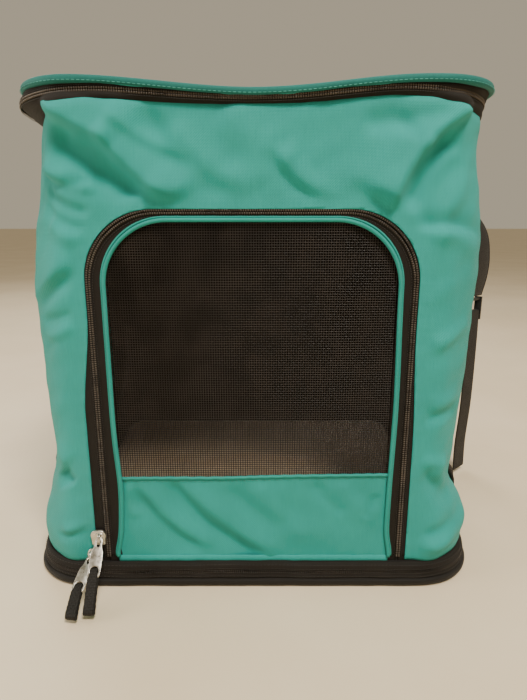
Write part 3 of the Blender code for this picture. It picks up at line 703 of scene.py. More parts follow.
def cut_area(flat, keep=None):
    """Area of a sheet's kept cells where it lies flat."""
    a, b = flat[1:, 1:] - flat[:-1, :-1], flat[:-1, 1:] - flat[1:, :-1]
    cells = abs(a[..., 0] * b[..., 1] - a[..., 1] * b[..., 0]) / 2
    return float(cells.sum() if keep is None else cells[keep].sum())


def make_shell():
    """The teal fabric from one back seam round the front to the other, one sheet with three openings."""
    end = WRAP_END + 4 * CELL
    us = np.arange(-end, end + CELL / 2, CELL)
    vs = np.linspace(0, 1, int((WALL_TOP - WALL_LOW) / CELL) + 1)
    u, v = np.meshgrid(us, vs, indexing="ij")
    z = WALL_LOW + v * (wall_top(u) - WALL_LOW)
    tail = np.interp(z, LEVELS[:, 0], LEVELS[:, 1]) - CORNER - BACK_SEAM + 0.003
    u = np.where(abs(u) > WRAP_END, np.sign(u) * (WRAP_END + (abs(u) - WRAP_END) / (4 * CELL) * tail), u)
    keep = np.ones((len(us) - 1, len(vs) - 1), bool)
    for gap in (door_gap, window_gap):
        u, z, kept = snapped(u, z, gap)
        keep &= kept
    p = on_wall(u, z)
    flat = np.stack([u, z], -1)
    shell = cloth("teal_walls", p, flat, [teal, lining], 0.0020, keep)
    settle(shell, "bag", "teal_fabric", "front_panel", "right_side_panel", "left_side_panel")
    np.ptp(u)
    np.ptp(z)
    cut_area(flat, keep)


# ---- camera, floor and light ----
CAMERA_LENS, CAMERA_PLACE, CAMERA_DOWN = 26.61, (0.0085, -0.526,
                                                 0.296), 13.47  # mm, metres, degrees below level
FLOOR_HALF = 60.0
# name, place, aim, size, power and colour
LIGHTS = [
    ("key", (0.45, -1.15, 2.00), (0, 0, 0.2), 0.5, 62, (1.0, 0.94, 0.84)),
    ("fill", (-1.7, -0.35, 0.75), (0, 0, 0.18), 0.9, 17, (1.0, 0.96, 0.90)),
    ("rim", (-0.6, 1.5, 1.6), (0, 0, 0.2), 1.2, 20, (0.95, 0.97, 1.0)),
    ("top", (0.3, 0.1, 2.0), (0, 0, 0.2), 1.0, 6, (1.0, 0.97, 0.93)),
]
SKY_COLOUR, SKY_STRENGTH = (1.0, 0.87, 0.64, 1), 0.42


def make_stage():
    camera = bpy.data.cameras.new("camera")
    camera.lens = CAMERA_LENS
    camera.sensor_width = 36.0
    eye = bpy.data.objects.new("camera", camera)
    eye.location = CAMERA_PLACE
    eye.rotation_euler = (radians(90 - CAMERA_DOWN), 0, 0)
    bpy.context.scene.collection.objects.link(eye)
    bpy.context.scene.camera = eye
    corners = np.array([(-1, -1, 0), (1, -1, 0), (1, 1, 0), (-1, 1, 0)]) * FLOOR_HALF
    floor = make_mesh("floor", corners, [[0, 1, 2, 3]], [plain_floor()], smooth=False)
    floor.location.z = -0.0002
    for name, place, aim, width, power, colour in LIGHTS:
        lamp = bpy.data.lights.new(name, "AREA")
        lamp.size = width
        lamp.energy = power
        lamp.color = colour
        holder = bpy.data.objects.new(name, lamp)
        holder.location = place
        holder.rotation_euler = (Vector(aim) - Vector(place)).to_track_quat("-Z", "Y").to_euler()
        bpy.context.scene.collection.objects.link(holder)
    world = bpy.data.worlds.new("studio")
    world.use_nodes = True
    sky = world.node_tree.nodes["Background"]
    sky.inputs[0].default_value, sky.inputs[1].default_value = SKY_COLOUR, SKY_STRENGTH
    bpy.context.scene.world = world


def keep_cad():
    """Give the frame's own visible parts their finish."""
    finishes = {"base_bottom_panel": cloth_black, "base_board": board, "back_board": board}
    for name, finish in finishes.items():
        for slot in frame["nodes"][name].material_slots:
            slot.material = finish


# ---- front door ----
def arch(half, top, step=DOOR_STEP, low=None):
    """Front view of a door line, from its right foot over the top to its left foot, as (x, z)."""
    radius = SPLIT_RADIUS + (half - SPLIT_HALF) * 0.3
    t = np.linspace(0, pi / 2, 40)
    right = np.stack([half - radius + radius * np.cos(t), top - radius + radius * np.sin(t)], 1)
    left = right[::-1] * (-1, 1)
    foot = DOOR_LOW if low is None else low
    return spaced(np.vstack([[(half, foot)], right, left, [(-half, foot)]]), step)


def same_count(line, count):
    run = run_along(line)
    at = np.linspace(0, run[-1], count)
    return np.stack([np.interp(at, run, line[:, k]) for k in range(line.shape[1])], 1)


def front_points(line, y):
    return np.stack([line[:, 0], np.full(len(line), y) if np.isscalar(y) else y, line[:, 1]], 1)


def across_arch(line):
    """Direction away from the door's middle at each point of a door line, in 3-D."""
    d = directions(line)
    return np.stack([d[:, 1], 0 * d[:, 0], -d[:, 0]], 1)


def sway(x, z):
    """How far the soft piping wanders out from its straight leg."""
    flare = 0.0034 * hill(z - 0.026, 0.014)
    left = flare - 0.0026 * hill(z - 0.085, 0.035)
    right = flare + 0.0016 * hill(z - 0.160, 0.060)
    return np.where(x < 0, -left, right) * ease(abs(x) / 0.05)


def arch_strip(name, outer, inner, y, finish, bend=0.0, low=None):
    """A strip of zip tape between two door lines, gently cupped."""
    rows = 6
    count = len(arch(*outer))
    a, b = same_count(arch(*outer, low=low), count), same_count(arch(*inner, low=low), count)
    f = np.linspace(0, 1, rows)[None, :, None]
    flat = a[:, None] * (1 - f) + b[:, None] * f
    depth = y - bend * np.sin(pi * f[..., 0]) + 0.0003 * ripple(flat[..., 0], flat[..., 1], 21, 0.03)
    p = np.stack([flat[..., 0], depth, flat[..., 1]], -1)
    run = np.arange(count) * DOOR_STEP
    uv = np.stack(np.broadcast_arrays(f[..., 0] * (outer[0] - inner[0]), run[:, None]), -1)
    return cloth(name, p, uv, [finish], 0.0008)


TOOTH = (0.0017, 0.0010, 0.0015)  # across the split, along it, proud of the tape
TOOTH_PITCH = 0.0017


def arch_teeth(name, offset, body, node):
    """One row of the coil and the dotted seam that holds it down."""
    line = arch(SPLIT_HALF + offset, SPLIT_TOP + offset, TOOTH_PITCH)
    away = across_arch(line)
    out = np.tile([0.0, -1.0, 0.0], (len(line), 1))
    # these teeth use the lightened nylon: painted highlight
    row = grains(name, front_points(line, FRONT - 0.0006), away, out, TOOTH, teeth)
    seam_line = arch(SPLIT_HALF + offset * 3.1, SPLIT_TOP + offset * 3.1, 0.0021)
    d = directions(seam_line)
    along = np.stack([d[:, 0], 0 * d[:, 0], d[:, 1]], 1)
    seam = grains(name + "_seam", front_points(seam_line, FRONT - 0.0001), along, out[:1],
                  (0.0015, 0.0006, 0.0006),
                  black_thread)
    settle(row, body, "zip_teeth", node)
    settle(seam, body, "zip_teeth")
    core = arch(SPLIT_HALF + offset * 1.15, SPLIT_TOP + offset * 1.15)
    bead = sweep(name + "_cord", front_points(core, FRONT + 0.0001), (0, -1, 0), oval(0.0024, 0.0016, 8),
                 tape)
    settle(bead, body, "zip_tape")


PANEL_FOLDS = [
    (-98, 82, -46, 30, 7.5, -3.4, 0.4), (-88, 88, -36, 34, 8, 2.2, 0.0), (-70, 92, 6, 24, 7.5, -4, 0.4),
    (-55, 92, 18, 30, 8.5, 2.4, 0.0), (-20, 86, 28, 50, 8, -1.8, 0.0), (50, 92, 74, 64, 5.5, -1.3, 0.0),
    (70, 94, 100, 60, 7.5, 1.6, 0.0), (104, 80, 94, 60, 5.5, -2, 0.0), (-104, 90, -98, 60, 5, 2, 0.0),
    (0, 90, 50, 40, 10, 1.2, 0.0),
]


def sill_height(x):
    return SILL + 0.0011 + 0.0016 * x / PIPING_HALF - 0.0008 * hill(x + 0.03, 0.04)


def panel_depth(x, z):
    edge = ease((PIPING_HALF - 0.004 - abs(x)) / 0.010) * ease((SILL - z) / 0.012 + 0.12)
    soft = 0.0007 * ripple(x, z, 31, 0.03) + fold_height(x, z, PANEL_FOLDS)
    pucker = 0.0004 * np.sin(x * 2 * pi / 0.0105 + 2 * np.sin(x * 60)) * hill((SILL - z) / 0.007, 1)
    return soft * edge + pucker


def make_door():
    outer, split = (TAPE_HALF + 0.002, TAPE_TOP), (SPLIT_HALF + 0.0003, SPLIT_TOP + 0.0003)
    split_in = (SPLIT_HALF - 0.0001, SPLIT_TOP - 0.0001)
    inner = (PIPING_HALF - 0.0035, PIPING_TOP - 0.0032)
    settle(arch_strip("door_tape_bag", outer, split, FRONT + 0.0005, tape, 0.0004), "bag", "zip_tape",
           "door_zip_tape_outer")
    settle(arch_strip("door_tape_door", split_in, inner, FRONT + 0.0005, tape, 0.0004), "door", "zip_tape",
           "door_zip_tape_inner")
    arch_teeth("door_teeth_bag", 0.0010, "bag", "door_zip_coil_outer")
    arch_teeth("door_teeth_door", -0.0010, "door", "door_zip_coil_inner")
    # piping round the net and down both legs
    line = arch(PIPING_HALF - 0.0023, PIPING_TOP - 0.0023)
    line[:, 0] += sway(line[:, 0], line[:, 1])
    depth = FRONT - 0.0010 + 0.0003 * ripple(line[:, 0], line[:, 1], 41, 0.05)
    bead = oval(0.0031, 0.0034, 14)
    settle(sweep("door_piping", front_points(line, depth), (0, -1, 0), bead, teal_edge), "door",
           "teal_fabric",
           "door_binding")
    lip = arch(PIPING_HALF - 0.0002, PIPING_TOP - 0.0002)
    lip[:, 0] += sway(lip[:, 0], lip[:, 1])
    settle(sweep("door_piping_lip", front_points(lip, FRONT + 0.0001), (0, -1, 0), oval(0.0018, 0.0012, 8),
                 teal_edge),
           "door", "teal_fabric")
    # lower panel, its bound edge and stitches
    us = np.linspace(-1, 1, 110)
    vs = np.linspace(0, 1, 40)
    u, v = np.meshgrid(us, vs, indexing="ij")
    top = sill_height(u * PIPING_HALF)
    z = DOOR_LOW - 0.0015 + v * (top - DOOR_LOW + 0.0015)
    reach = PIPING_HALF - 0.0028
    x = u * reach + sway(u * reach, z)
    p = np.stack([x, FRONT + 0.0002 - panel_depth(x, z), z], -1)
    lower = cloth("door_lower_cloth", p, p[..., [0, 2]], [teal, lining], 0.0018)
    settle(lower, "door", "teal_fabric", "door_lower_panel")
    edge = np.stack([p[:, -1, 0], p[:, -1, 1] - 0.0002, p[:, -1, 2]], 1)
    settle(sweep("door_sill_edge", edge, (0, -1, 0), oval(0.0026, 0.0026, 10), teal_edge), "door",
           "teal_fabric",
           "door_sill_binding")
    seam = spaced(edge - (0, 0, 0.0030), STITCH_PITCH)[1:-1]
    seam[:, 1] = FRONT + 0.0001 - panel_depth(seam[:, 0], seam[:, 2])
    settle(grains("door_sill_stitches", seam, np.tile([1.0, 0, 0], (len(seam), 1)),
                  np.array([[0, -1.0, 0]]),
                  STITCH, teal_thread), "door", "teal_fabric")
    # net
    pane = dict(low=(-PIPING_HALF + 0.0035, -0.2), high=(PIPING_HALF - 0.0035, PIPING_TOP - 0.0035),
                radius=0.046)

    def gap(u, z):
        return np.maximum(round_box(u, z, **pane), sill_height(u) - z - 0.0005)

    def place(u, z, out):
        bow = 0.0012 * np.cos(u * pi / 0.22) * np.sin((z - SILL) * pi / 0.21)
        bow = bow + 0.0005 * ripple(u, z, 51, 0.06)
        return np.stack([u, FRONT + 0.0012 - bow - out, z + 0 * u], -1)

    box = ((-PIPING_HALF, SILL), (PIPING_HALF, PIPING_TOP))
    settle(net("door_net", box, gap, place), "door", "mesh", "door_mesh")
    make_hinge_strip()


NET_PITCH, THREAD = 0.0019, 0.00064  # spacing and thickness of the nets' threads


def net(name, box, gap, place, flip=False):
    """Open net of threads that pass over and under each other, inside a region of (u, v)."""
    (u0, v0), (u1, v1) = box
    us, vs = np.arange(u0, u1 + NET_PITCH, NET_PITCH), np.arange(v0, v1 + NET_PITCH, NET_PITCH)
    grid_u, grid_v = np.meshgrid(us, vs, indexing="ij")
    inside = gap(grid_u, grid_v) < 0.0006
    verts, faces, uv, start = [], [], [], 0
    half, lift = THREAD / 2, THREAD * 0.30
    for axis in (0, 1):
        lines = len(vs) if axis == 0 else len(us)
        for k in range(lines):
            mask = inside[:, k] if axis == 0 else inside[k, :]
            index = np.flatnonzero(mask)
            if len(index) < 3:
                continue
            for run in np.split(index, np.flatnonzero(np.diff(index) > 1) + 1):
                if len(run) < 3:
                    continue
                u = us[run] if axis == 0 else np.full(len(run), us[k])
                v = np.full(len(run), vs[k]) if axis == 0 else vs[run]
                wave = lift * np.where((run + k + axis) % 2, 1.0, -1.0)
                ring = []
                for side, out in ((-half, -half * 0.4), (half, -half * 0.4), (0, half * 0.9)):
                    du, dv = (0, side) if axis == 0 else (side, 0)
                    ring.append(place(u + du, v + dv, wave + out))
                verts.append(np.stack(ring, 1).reshape(-1, 3))
                uv.append(np.stack([np.repeat(u, 3), np.repeat(v, 3)], 1))
                quads, ends = tube_quads(len(run), 3)
                turn = -1 if (axis == 1) != flip else 1
                faces += list((quads + start)[:, ::turn]) + [(end + start)[::turn] for end in ends]
                start += len(run) * 3
    return make_mesh(name, np.concatenate(verts), faces, [strand], np.concatenate(uv))


def make_hinge_strip():
    """Cloth between the base's rim and the foot of the door, which on the real bag bends as the door swings
    down; here it is a fixed sheet.
    """
    width = PIPING_HALF + 0.0008
    u, v = np.meshgrid(np.linspace(-width, width, 90), np.linspace(0, 1, 9), indexing="ij")
    z = BASE_TOP - 0.0006 + v * (DOOR_LOW + 0.0012 - BASE_TOP)
    y = FRONT - 0.0010 * np.sin(pi * v) - 0.0003 * ripple(u, z, 61, 0.02)
    p = np.stack([u, y, z], -1)
    strip = cloth("door_hinge_cloth", p, p[..., [0, 2]], [teal, lining], 0.0014)
    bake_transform(strip)
    for side, sign in (("right", 1), ("left", -1)):
        for label, edges in (("inner", (PIPING_HALF - 0.002, SPLIT_HALF - 0.0001)),
                             ("outer", (SPLIT_HALF + 0.0003, TAPE_HALF + 0.002))):
            x = np.sort(np.array(edges) * sign)
            u, v = np.meshgrid(np.linspace(*x, 8), np.linspace(0, 1, 7), indexing="ij")
            z = BASE_TOP - 0.0020 + v * (DOOR_LOW + 0.0016 - BASE_TOP + 0.0020)
            p = np.stack([u, FRONT + 0.0007 + 0 * u, z], -1)
            strip = cloth(f"door_foot_tape_{side}_{label}", p, p[..., [0, 2]], [tape], 0.0008)
            if label == "outer":
                settle(strip, "bag", "zip_tape")
            else:
                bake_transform(strip)


# ---- base ----
BASE_STEP = 0.004  # between points round the base


def loop_at(half, front, back, radius, step=BASE_STEP):
    """Counter-clockwise rounded rectangle from above, as (x, y), from the middle of the back."""
    t = np.linspace(0, pi / 2, 24)
    corners = [(-(half - radius), back - radius, pi / 2), (-(half - radius), front + radius, pi),
               (half - radius, front + radius, 1.5 * pi), (half - radius, back - radius, 2 * pi)]
    line = [(0.0, back)]
    for cx, cy, start in corners:
        line += [(cx + radius * cos(start + a), cy + radius * sin(start + a)) for a in t]
    return spaced(line, step, closed=True)


def base_loop(z, inset, step=BASE_STEP):
    """Line round the base at a height, which leans in towards its rim."""
    share = z / BASE_TOP
    half = FOOT_HIGH.x - 0.005 * share - inset
    return loop_at(half, FOOT_LOW.y + 0.0055 * share + inset, FOOT_HIGH.y - 0.004 * share - inset,
                   FOOT_RADIUS - 0.003 * share - inset, step)


def with_z(line, z):
    return np.column_stack([line, np.broadcast_to(z, len(line))])


def tilt(line):
    """The soft rim stands a little unevenly."""
    x, y = line[:, 0], line[:, 1]
    return 0.0007 * ripple(x, y, 71, 0.16) + 0.0004 * ripple(x, y, 72, 0.05)


def base_band(name, rows, node, finish, thick=0.0014):
    """A strip of the base round the whole loop, from (height, how far out) rows."""
    count = len(base_loop(0.01, 0))
    p = []
    for z, out in rows:
        line = same_count(np.vstack([base_loop(z, -out), base_loop(z, -out)[:1]]), count + 1)[:-1]
        wave = 0.0005 * ripple(line[:, 0] + z, line[:, 1], 73, 0.035)
        line = line + outward(line)[:, :2] * wave[:, None]
        p.append(with_z(line, z + tilt(line) * min(1, z / 0.008)))
    p = np.stack(p, 1)
    uv = np.stack(np.broadcast_arrays((np.arange(count) * BASE_STEP)[:, None], p[..., 2]), -1)[..., ::-1]
    return settle(cloth(name, p, uv, [finish], thick, closed=True), "bag", "zip_tape", node)


def ring_grains(name, line, along, pitch, size, finish, body, slot, *nodes):
    """Beads at a pitch round a closed line, long way along it or upright."""
    points = spaced(line, pitch, closed=True)
    d, outs = directions(points, closed=True), outward(points)
    aims = d if along else np.cross(outs, d)
    return settle(grains(name, points, aims, outs, size, finish), body, slot, *nodes)


def make_base():
    loop = base_loop(0.0034, 0.0030, 0.003)
    puff = 1 + 0.07 * ripple(loop[:, 0], loop[:, 1], 81, 0.03)
    profile = oval(0.0064, 0.0068, 16, 2.4)[None] * puff[:, None, None]
    path = with_z(loop, 0.0038 + 0.0003 * ripple(loop[:, 0], loop[:, 1], 82, 0.08))
    settle(sweep("base_lip", path, outward(loop), profile, cloth_black, closed=True), "bag", "zip_tape",
           "base_lower_binding")
    base_band("base_tape_low", [(0.0058, -0.0022), (0.0072, -0.0008), (0.0088, 0.0001), (0.0104, -0.0001),
                                (0.0118, -0.0006)], "base_zip_tape_lower", tape)
    base_band("base_tape_high", [(0.0128, -0.0006), (0.0140, 0.0001), (0.0155, 0.0007), (0.0172, 0.0009),
                                 (0.0186, 0.0005), (0.0198, -0.0012), (0.0201, -0.0030)],
              "base_zip_tape_upper", tape)
    for name, z, nodes in (("base_teeth_low", 0.0117, ("base_zip_coil",)), ("base_teeth_high", 0.0130, ())):
        line = base_loop(z, 0.0002, 0.002)
        # the base's teeth take the darker copy of the nylon: painted shade
        ring_grains(name, with_z(line, z + tilt(line)), False, TOOTH_PITCH, (0.0016, 0.0013, 0.0016),
                    teeth_painted_shade,
                    "bag", "zip_teeth", *nodes)
    for name, z, out in (("base_seam_low", 0.0092, 0.0003), ("base_seam_high", 0.0152, 0.0009),
                         ("base_seam_top", 0.0184, 0.0008)):
        line = base_loop(z, -out, 0.002)
        ring_grains(name, with_z(line, z + tilt(line)), True, 0.0032, (0.0022, 0.0006, 0.0006),
                    black_thread,
                    "bag", "zip_tape")


# ---- lid ----
RIM_LEFT_PULL, RIM_RIGHT_PUSH = 0.0065, 0.0015  # the soft rim leans off centre


def rim_shift(x):
    return RIM_LEFT_PULL * ease((-x - 0.09) / 0.08) + RIM_RIGHT_PUSH * ease((x - 0.09) / 0.08)


def sag(x, y):
    """How far the rim has sunk between its corners."""
    front = 0.0082 * (1 - ease(abs(x + 0.002) / 0.125)) * ease(-y / 0.12)
    back = 0.0025 * (1 - ease(abs(x) / 0.120)) * ease(y / 0.12)
    side = 0.0015 * (1 - ease(abs(y) / 0.08)) * ease((abs(x) - 0.08) / 0.08)
    return front + back + side + 0.0005 * ripple(x, y, 91, 0.12)


def rim_loop(inset, step=0.003):
    line = loop_at(RIM_HIGH.x - inset, RIM_LOW.y + inset, RIM_HIGH.y - inset, RIM_RADIUS - inset, step)
    line[:, 0] += rim_shift(line[:, 0])
    return line


def lid_route(half, front, radius, end_y, counts=(60, 34, 100, 34, 60)):
    """From the left end round the front to the right end, as (x, y), with a set count on each stretch."""
    t = [np.linspace(0, 1, n, endpoint=False) for n in counts]
    flat = half - radius
    left = np.stack([np.full(counts[0], -half), end_y + (front + radius - end_y) * t[0]], 1)
    turn = pi + t[1] * pi / 2
    a = np.stack([-flat + radius * np.cos(turn), front + radius + radius * np.sin(turn)], 1)
    mid = np.stack([-flat + 2 * flat * t[2], np.full(counts[2], front)], 1)
    turn = 1.5 * pi + t[3] * pi / 2
    b = np.stack([flat + radius * np.cos(turn), front + radius + radius * np.sin(turn)], 1)
    right = np.stack([np.full(counts[4], half), front + radius + (end_y - front - radius) * t[4]], 1)
    return np.vstack([left, a, mid, b, right, [(half, end_y)]])


def wall_route(end_y, counts=(60, 34, 100, 34, 60)):
    """The same stretches along the top of the wall, as its unrolled distance."""
    stops = [-u_of_y(end_y), -ARCH_END, -FRONT_FLAT, FRONT_FLAT, ARCH_END, u_of_y(end_y)]
    parts = [np.linspace(a, b, n, endpoint=False) for a, b, n in zip(stops, stops[1:], counts)]
    return np.concatenate(parts + [[stops[-1]]])


LID_END_Y = 0.090


def rim_low(line):
    """Height of the rim's lower edge."""
    return RIM_HIGH.z - 0.0048 - sag(line[:, 0], line[:, 1])


def coil_line():
    """The zip's split: between rim and wall at the front, at the frame's height behind."""
    half = LID_COIL_HIGH.x - 0.0003
    line = lid_route(half, LID_COIL_LOW.y + 0.0003, CORNER + 0.0017, LID_END_Y)
    front = 0.52 * rim_low(line) + 0.48 * wall_top(wall_route(LID_END_Y))
    share = ease((0.02 - line[:, 1]) / 0.10)
    return np.column_stack([line, LID_COIL_Z + (front - LID_COIL_Z) * share])


def lid_band(name, low, high, rows, bulge, finish, seed, thick=0.0009):
    f = np.linspace(0, 1, rows)[None, :, None]
    p = low[:, None] * (1 - f) + high[:, None] * f
    out = outward((low + high)[:, :2] / 2, False)[:, None]
    run = run_along(low)
    corner = hill(abs(low[:, 0]) - 0.160, 0.040)[:, None] * hill((low[:, 1] - FRONT - 0.02)[:, None], 0.07)
    wave = (0.0004 + 0.0013 * corner) * ripple(run[:, None] + 0 * f[..., 0], f[..., 0] * 0.02, seed, 0.028)
    p = p + out * (bulge * np.sin(pi * f) + (wave * np.sin(pi * f[..., 0]))[..., None])
    uv = np.stack(np.broadcast_arrays(f[..., 0] * 0.010, run[:, None]), -1)
    return cloth(name, p, uv, [finish], thick)


def make_lid():
    loop = rim_loop(0.0022)
    fat = 0.66 + 0.14 * ease((abs(loop[:, 0]) - 0.08) / 0.08)
    fat = fat + 0.05 * ripple(loop[:, 0], loop[:, 1], 92, 0.05)
    height = RIM_HIGH.z - 0.0037 * fat - sag(loop[:, 0], loop[:, 1])
    profile = oval(0.0074, 0.0050, 16, 2.3)[None] * np.stack([fat, 0.4 + 0.6 * fat], 1)[:, None]
    settle(sweep("lid_rim", with_z(loop, height), outward(loop), profile, rim_cloth, closed=True), "lid",
           "teal_fabric", "lid_binding")
    seam = rim_loop(-0.0003)
    line = with_z(seam, RIM_HIGH.z - 0.0040 - sag(seam[:, 0], seam[:, 1]))
    ring_grains("lid_rim_stitches", line, True, STITCH_PITCH, STITCH, teal_thread, "lid", "teal_fabric")
    wire = rim_loop(0.0060)
    path = with_z(wire, RIM_HIGH.z - 0.0052 - sag(wire[:, 0], wire[:, 1]))
    settle(sweep("lid_wire", path, (0, 0, 1), oval(0.0030, 0.0030, 8), steel, closed=True), "lid",
           "spring_steel",
           "lid_frame_wire")
    # top sheet
    box = dict(low=(-RIM_HIGH.x + 0.0025, RIM_LOW.y + 0.0025),
               high=(RIM_HIGH.x - 0.0025, RIM_HIGH.y - 0.0025),
               radius=RIM_RADIUS - 0.0025)

    def outside(x, y):
        return -round_box(x, y, **box)

    x, y = np.meshgrid(np.arange(-0.182, 0.1821, 0.0032), np.arange(-0.148, 0.1481, 0.0032), indexing="ij")
    x, y, keep = snapped(x, y, outside)
    depth = -round_box(x, y, **box)
    sx = x + rim_shift(x)
    z = (RIM_HIGH.z - 0.0016 - sag(sx, y) - 0.0045 * ease(depth / 0.09) + 0.0008 * ripple(x, y, 93, 0.07)
         + 0.0004 * np.sin(np.arctan2(y, x) * 46) * hill(depth - 0.006, 0.006)
         - 0.0012 * hill(depth - 0.0065, 0.0012))
    p = np.stack([sx, y, z], -1)
    top = cloth("lid_top_cloth", p, p[..., :2], [teal, lining], 0.0030, keep)
    settle(top, "lid", "teal_fabric", "lid_panel")
    flat = np.stack([x, y], -1)
    cut_area(flat, keep)
    # zip bands
    coil = coil_line()
    rim = lid_route(RIM_HIGH.x - 0.0035, RIM_LOW.y + 0.0035, RIM_RADIUS - 0.0035, LID_END_Y)
    rim[:, 0] += rim_shift(rim[:, 0])
    rim = np.column_stack([rim, rim_low(rim) + 0.0006])
    u = wall_route(LID_END_Y)
    top = on_wall(u, wall_top(u) - 0.0030, -0.0012)
    settle(lid_band("lid_tape_lid", coil + (0, 0, 0.0002), rim, 7, 0.0006, tape, 95), "lid", "zip_tape",
           "lid_zip_tape_upper")
    settle(lid_band("lid_tape_bag", top, coil - (0, 0, 0.0002), 8, 0.0014, tape, 96), "bag", "zip_tape",
           "lid_zip_tape_lower")
    row = spaced(coil, TOOTH_PITCH)
    d, out = directions(row), outward(row, False)
    up = np.tile([0.0, 0, 1], (len(row), 1))
    for side, body, node in ((1, "lid", "lid_zip_coil_upper"), (-1, "bag", "lid_zip_coil_lower")):
        # these teeth use the lightened nylon: painted highlight
        settle(grains(f"lid_teeth_{body}", row + up * 0.0009 * side + out * 0.0006, up, out,
                      (0.0017, 0.0013, 0.0014),
                      teeth), body, "zip_teeth", node)
        seam = row + up * 0.0027 * side + out * 0.0003
        settle(grains(f"lid_seam_{body}", seam, d, out, (0.0014, 0.0006, 0.0006), black_thread), body,
               "zip_tape")
    make_gusset()


def make_gusset():
    """Cloth hinge round the back of the lid, which on the real bag opens out as the lid swings up; here it
    is a fixed strip.
    """
    stops = np.array([u_of_y(LID_END_Y - 0.001), ARCH_END + SIDE_RUN, WRAP_END])
    right = np.concatenate([np.linspace(stops[0], stops[1], 20, endpoint=False),
                            np.linspace(stops[1], stops[2], 30)])
    low_r = on_wall(right, wall_top(right) - 0.0030, -0.0012)
    back = np.linspace(low_r[-1], low_r[-1] * (-1, 1, 1), 60)[1:-1]
    left = -right[::-1]
    low = np.vstack([low_r, back, on_wall(left, wall_top(left) - 0.0030, -0.0012)])
    half, edge = RIM_HIGH.x - 0.0035, RIM_HIGH.y - 0.0035
    radius = RIM_RADIUS - 0.0035
    turn = np.linspace(0, pi / 2, 30)
    corner = np.stack([half - radius + radius * np.cos(turn), edge - radius + radius * np.sin(turn)], 1)
    depth = np.linspace(LID_END_Y - 0.001, edge - radius, 20, endpoint=False)
    side = np.stack([np.full(20, half), depth], 1)
    high_r = np.vstack([side, corner])
    flat = np.linspace(high_r[-1], high_r[-1] * (-1, 1), 60)[1:-1]
    high = np.vstack([high_r, flat, high_r[::-1] * (-1, 1)])
    high[:, 0] += rim_shift(high[:, 0])
    high = np.column_stack([high, RIM_HIGH.z - 0.0070 - sag(high[:, 0], high[:, 1])])
    f = np.linspace(0, 1, 9)[None, :, None]
    p = low[:, None] * (1 - f) + high[:, None] * f
    run = run_along(low)
    out = outward(high[:, :2], False)[:, None]
    wave = 0.0005 * ripple(run[:, None, None], f * 0.02, 97, 0.03) * np.sin(pi * f)
    p = p + out * (0.0012 * np.sin(pi * f) + wave)
    uv = np.stack(np.broadcast_arrays(f[..., 0] * 0.020, run[:, None]), -1)
    strip = cloth("lid_hinge_cloth", p, uv, [tape], 0.0009)
    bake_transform(strip)
    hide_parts("lid_hinge_gusset")


# ---- side windows and pockets ----
POCKET_RADIUS = 0.014


def rounded_path(low, high, radius, step):
    """Rounded rectangle in any plane, as a closed line."""
    mid = (np.array(low) + np.array(high)) / 2
    half = (np.array(high) - np.array(low)) / 2
    return loop_at(half[0], -half[1], half[1], radius, step) + mid


def side_path(sign, line, out):
    """Points and outward directions along a line of (unrolled distance, height) on one side."""
    u, z = line[:, 0] * sign, line[:, 1]
    return on_wall(u, z, out), wall(u, z)[1]


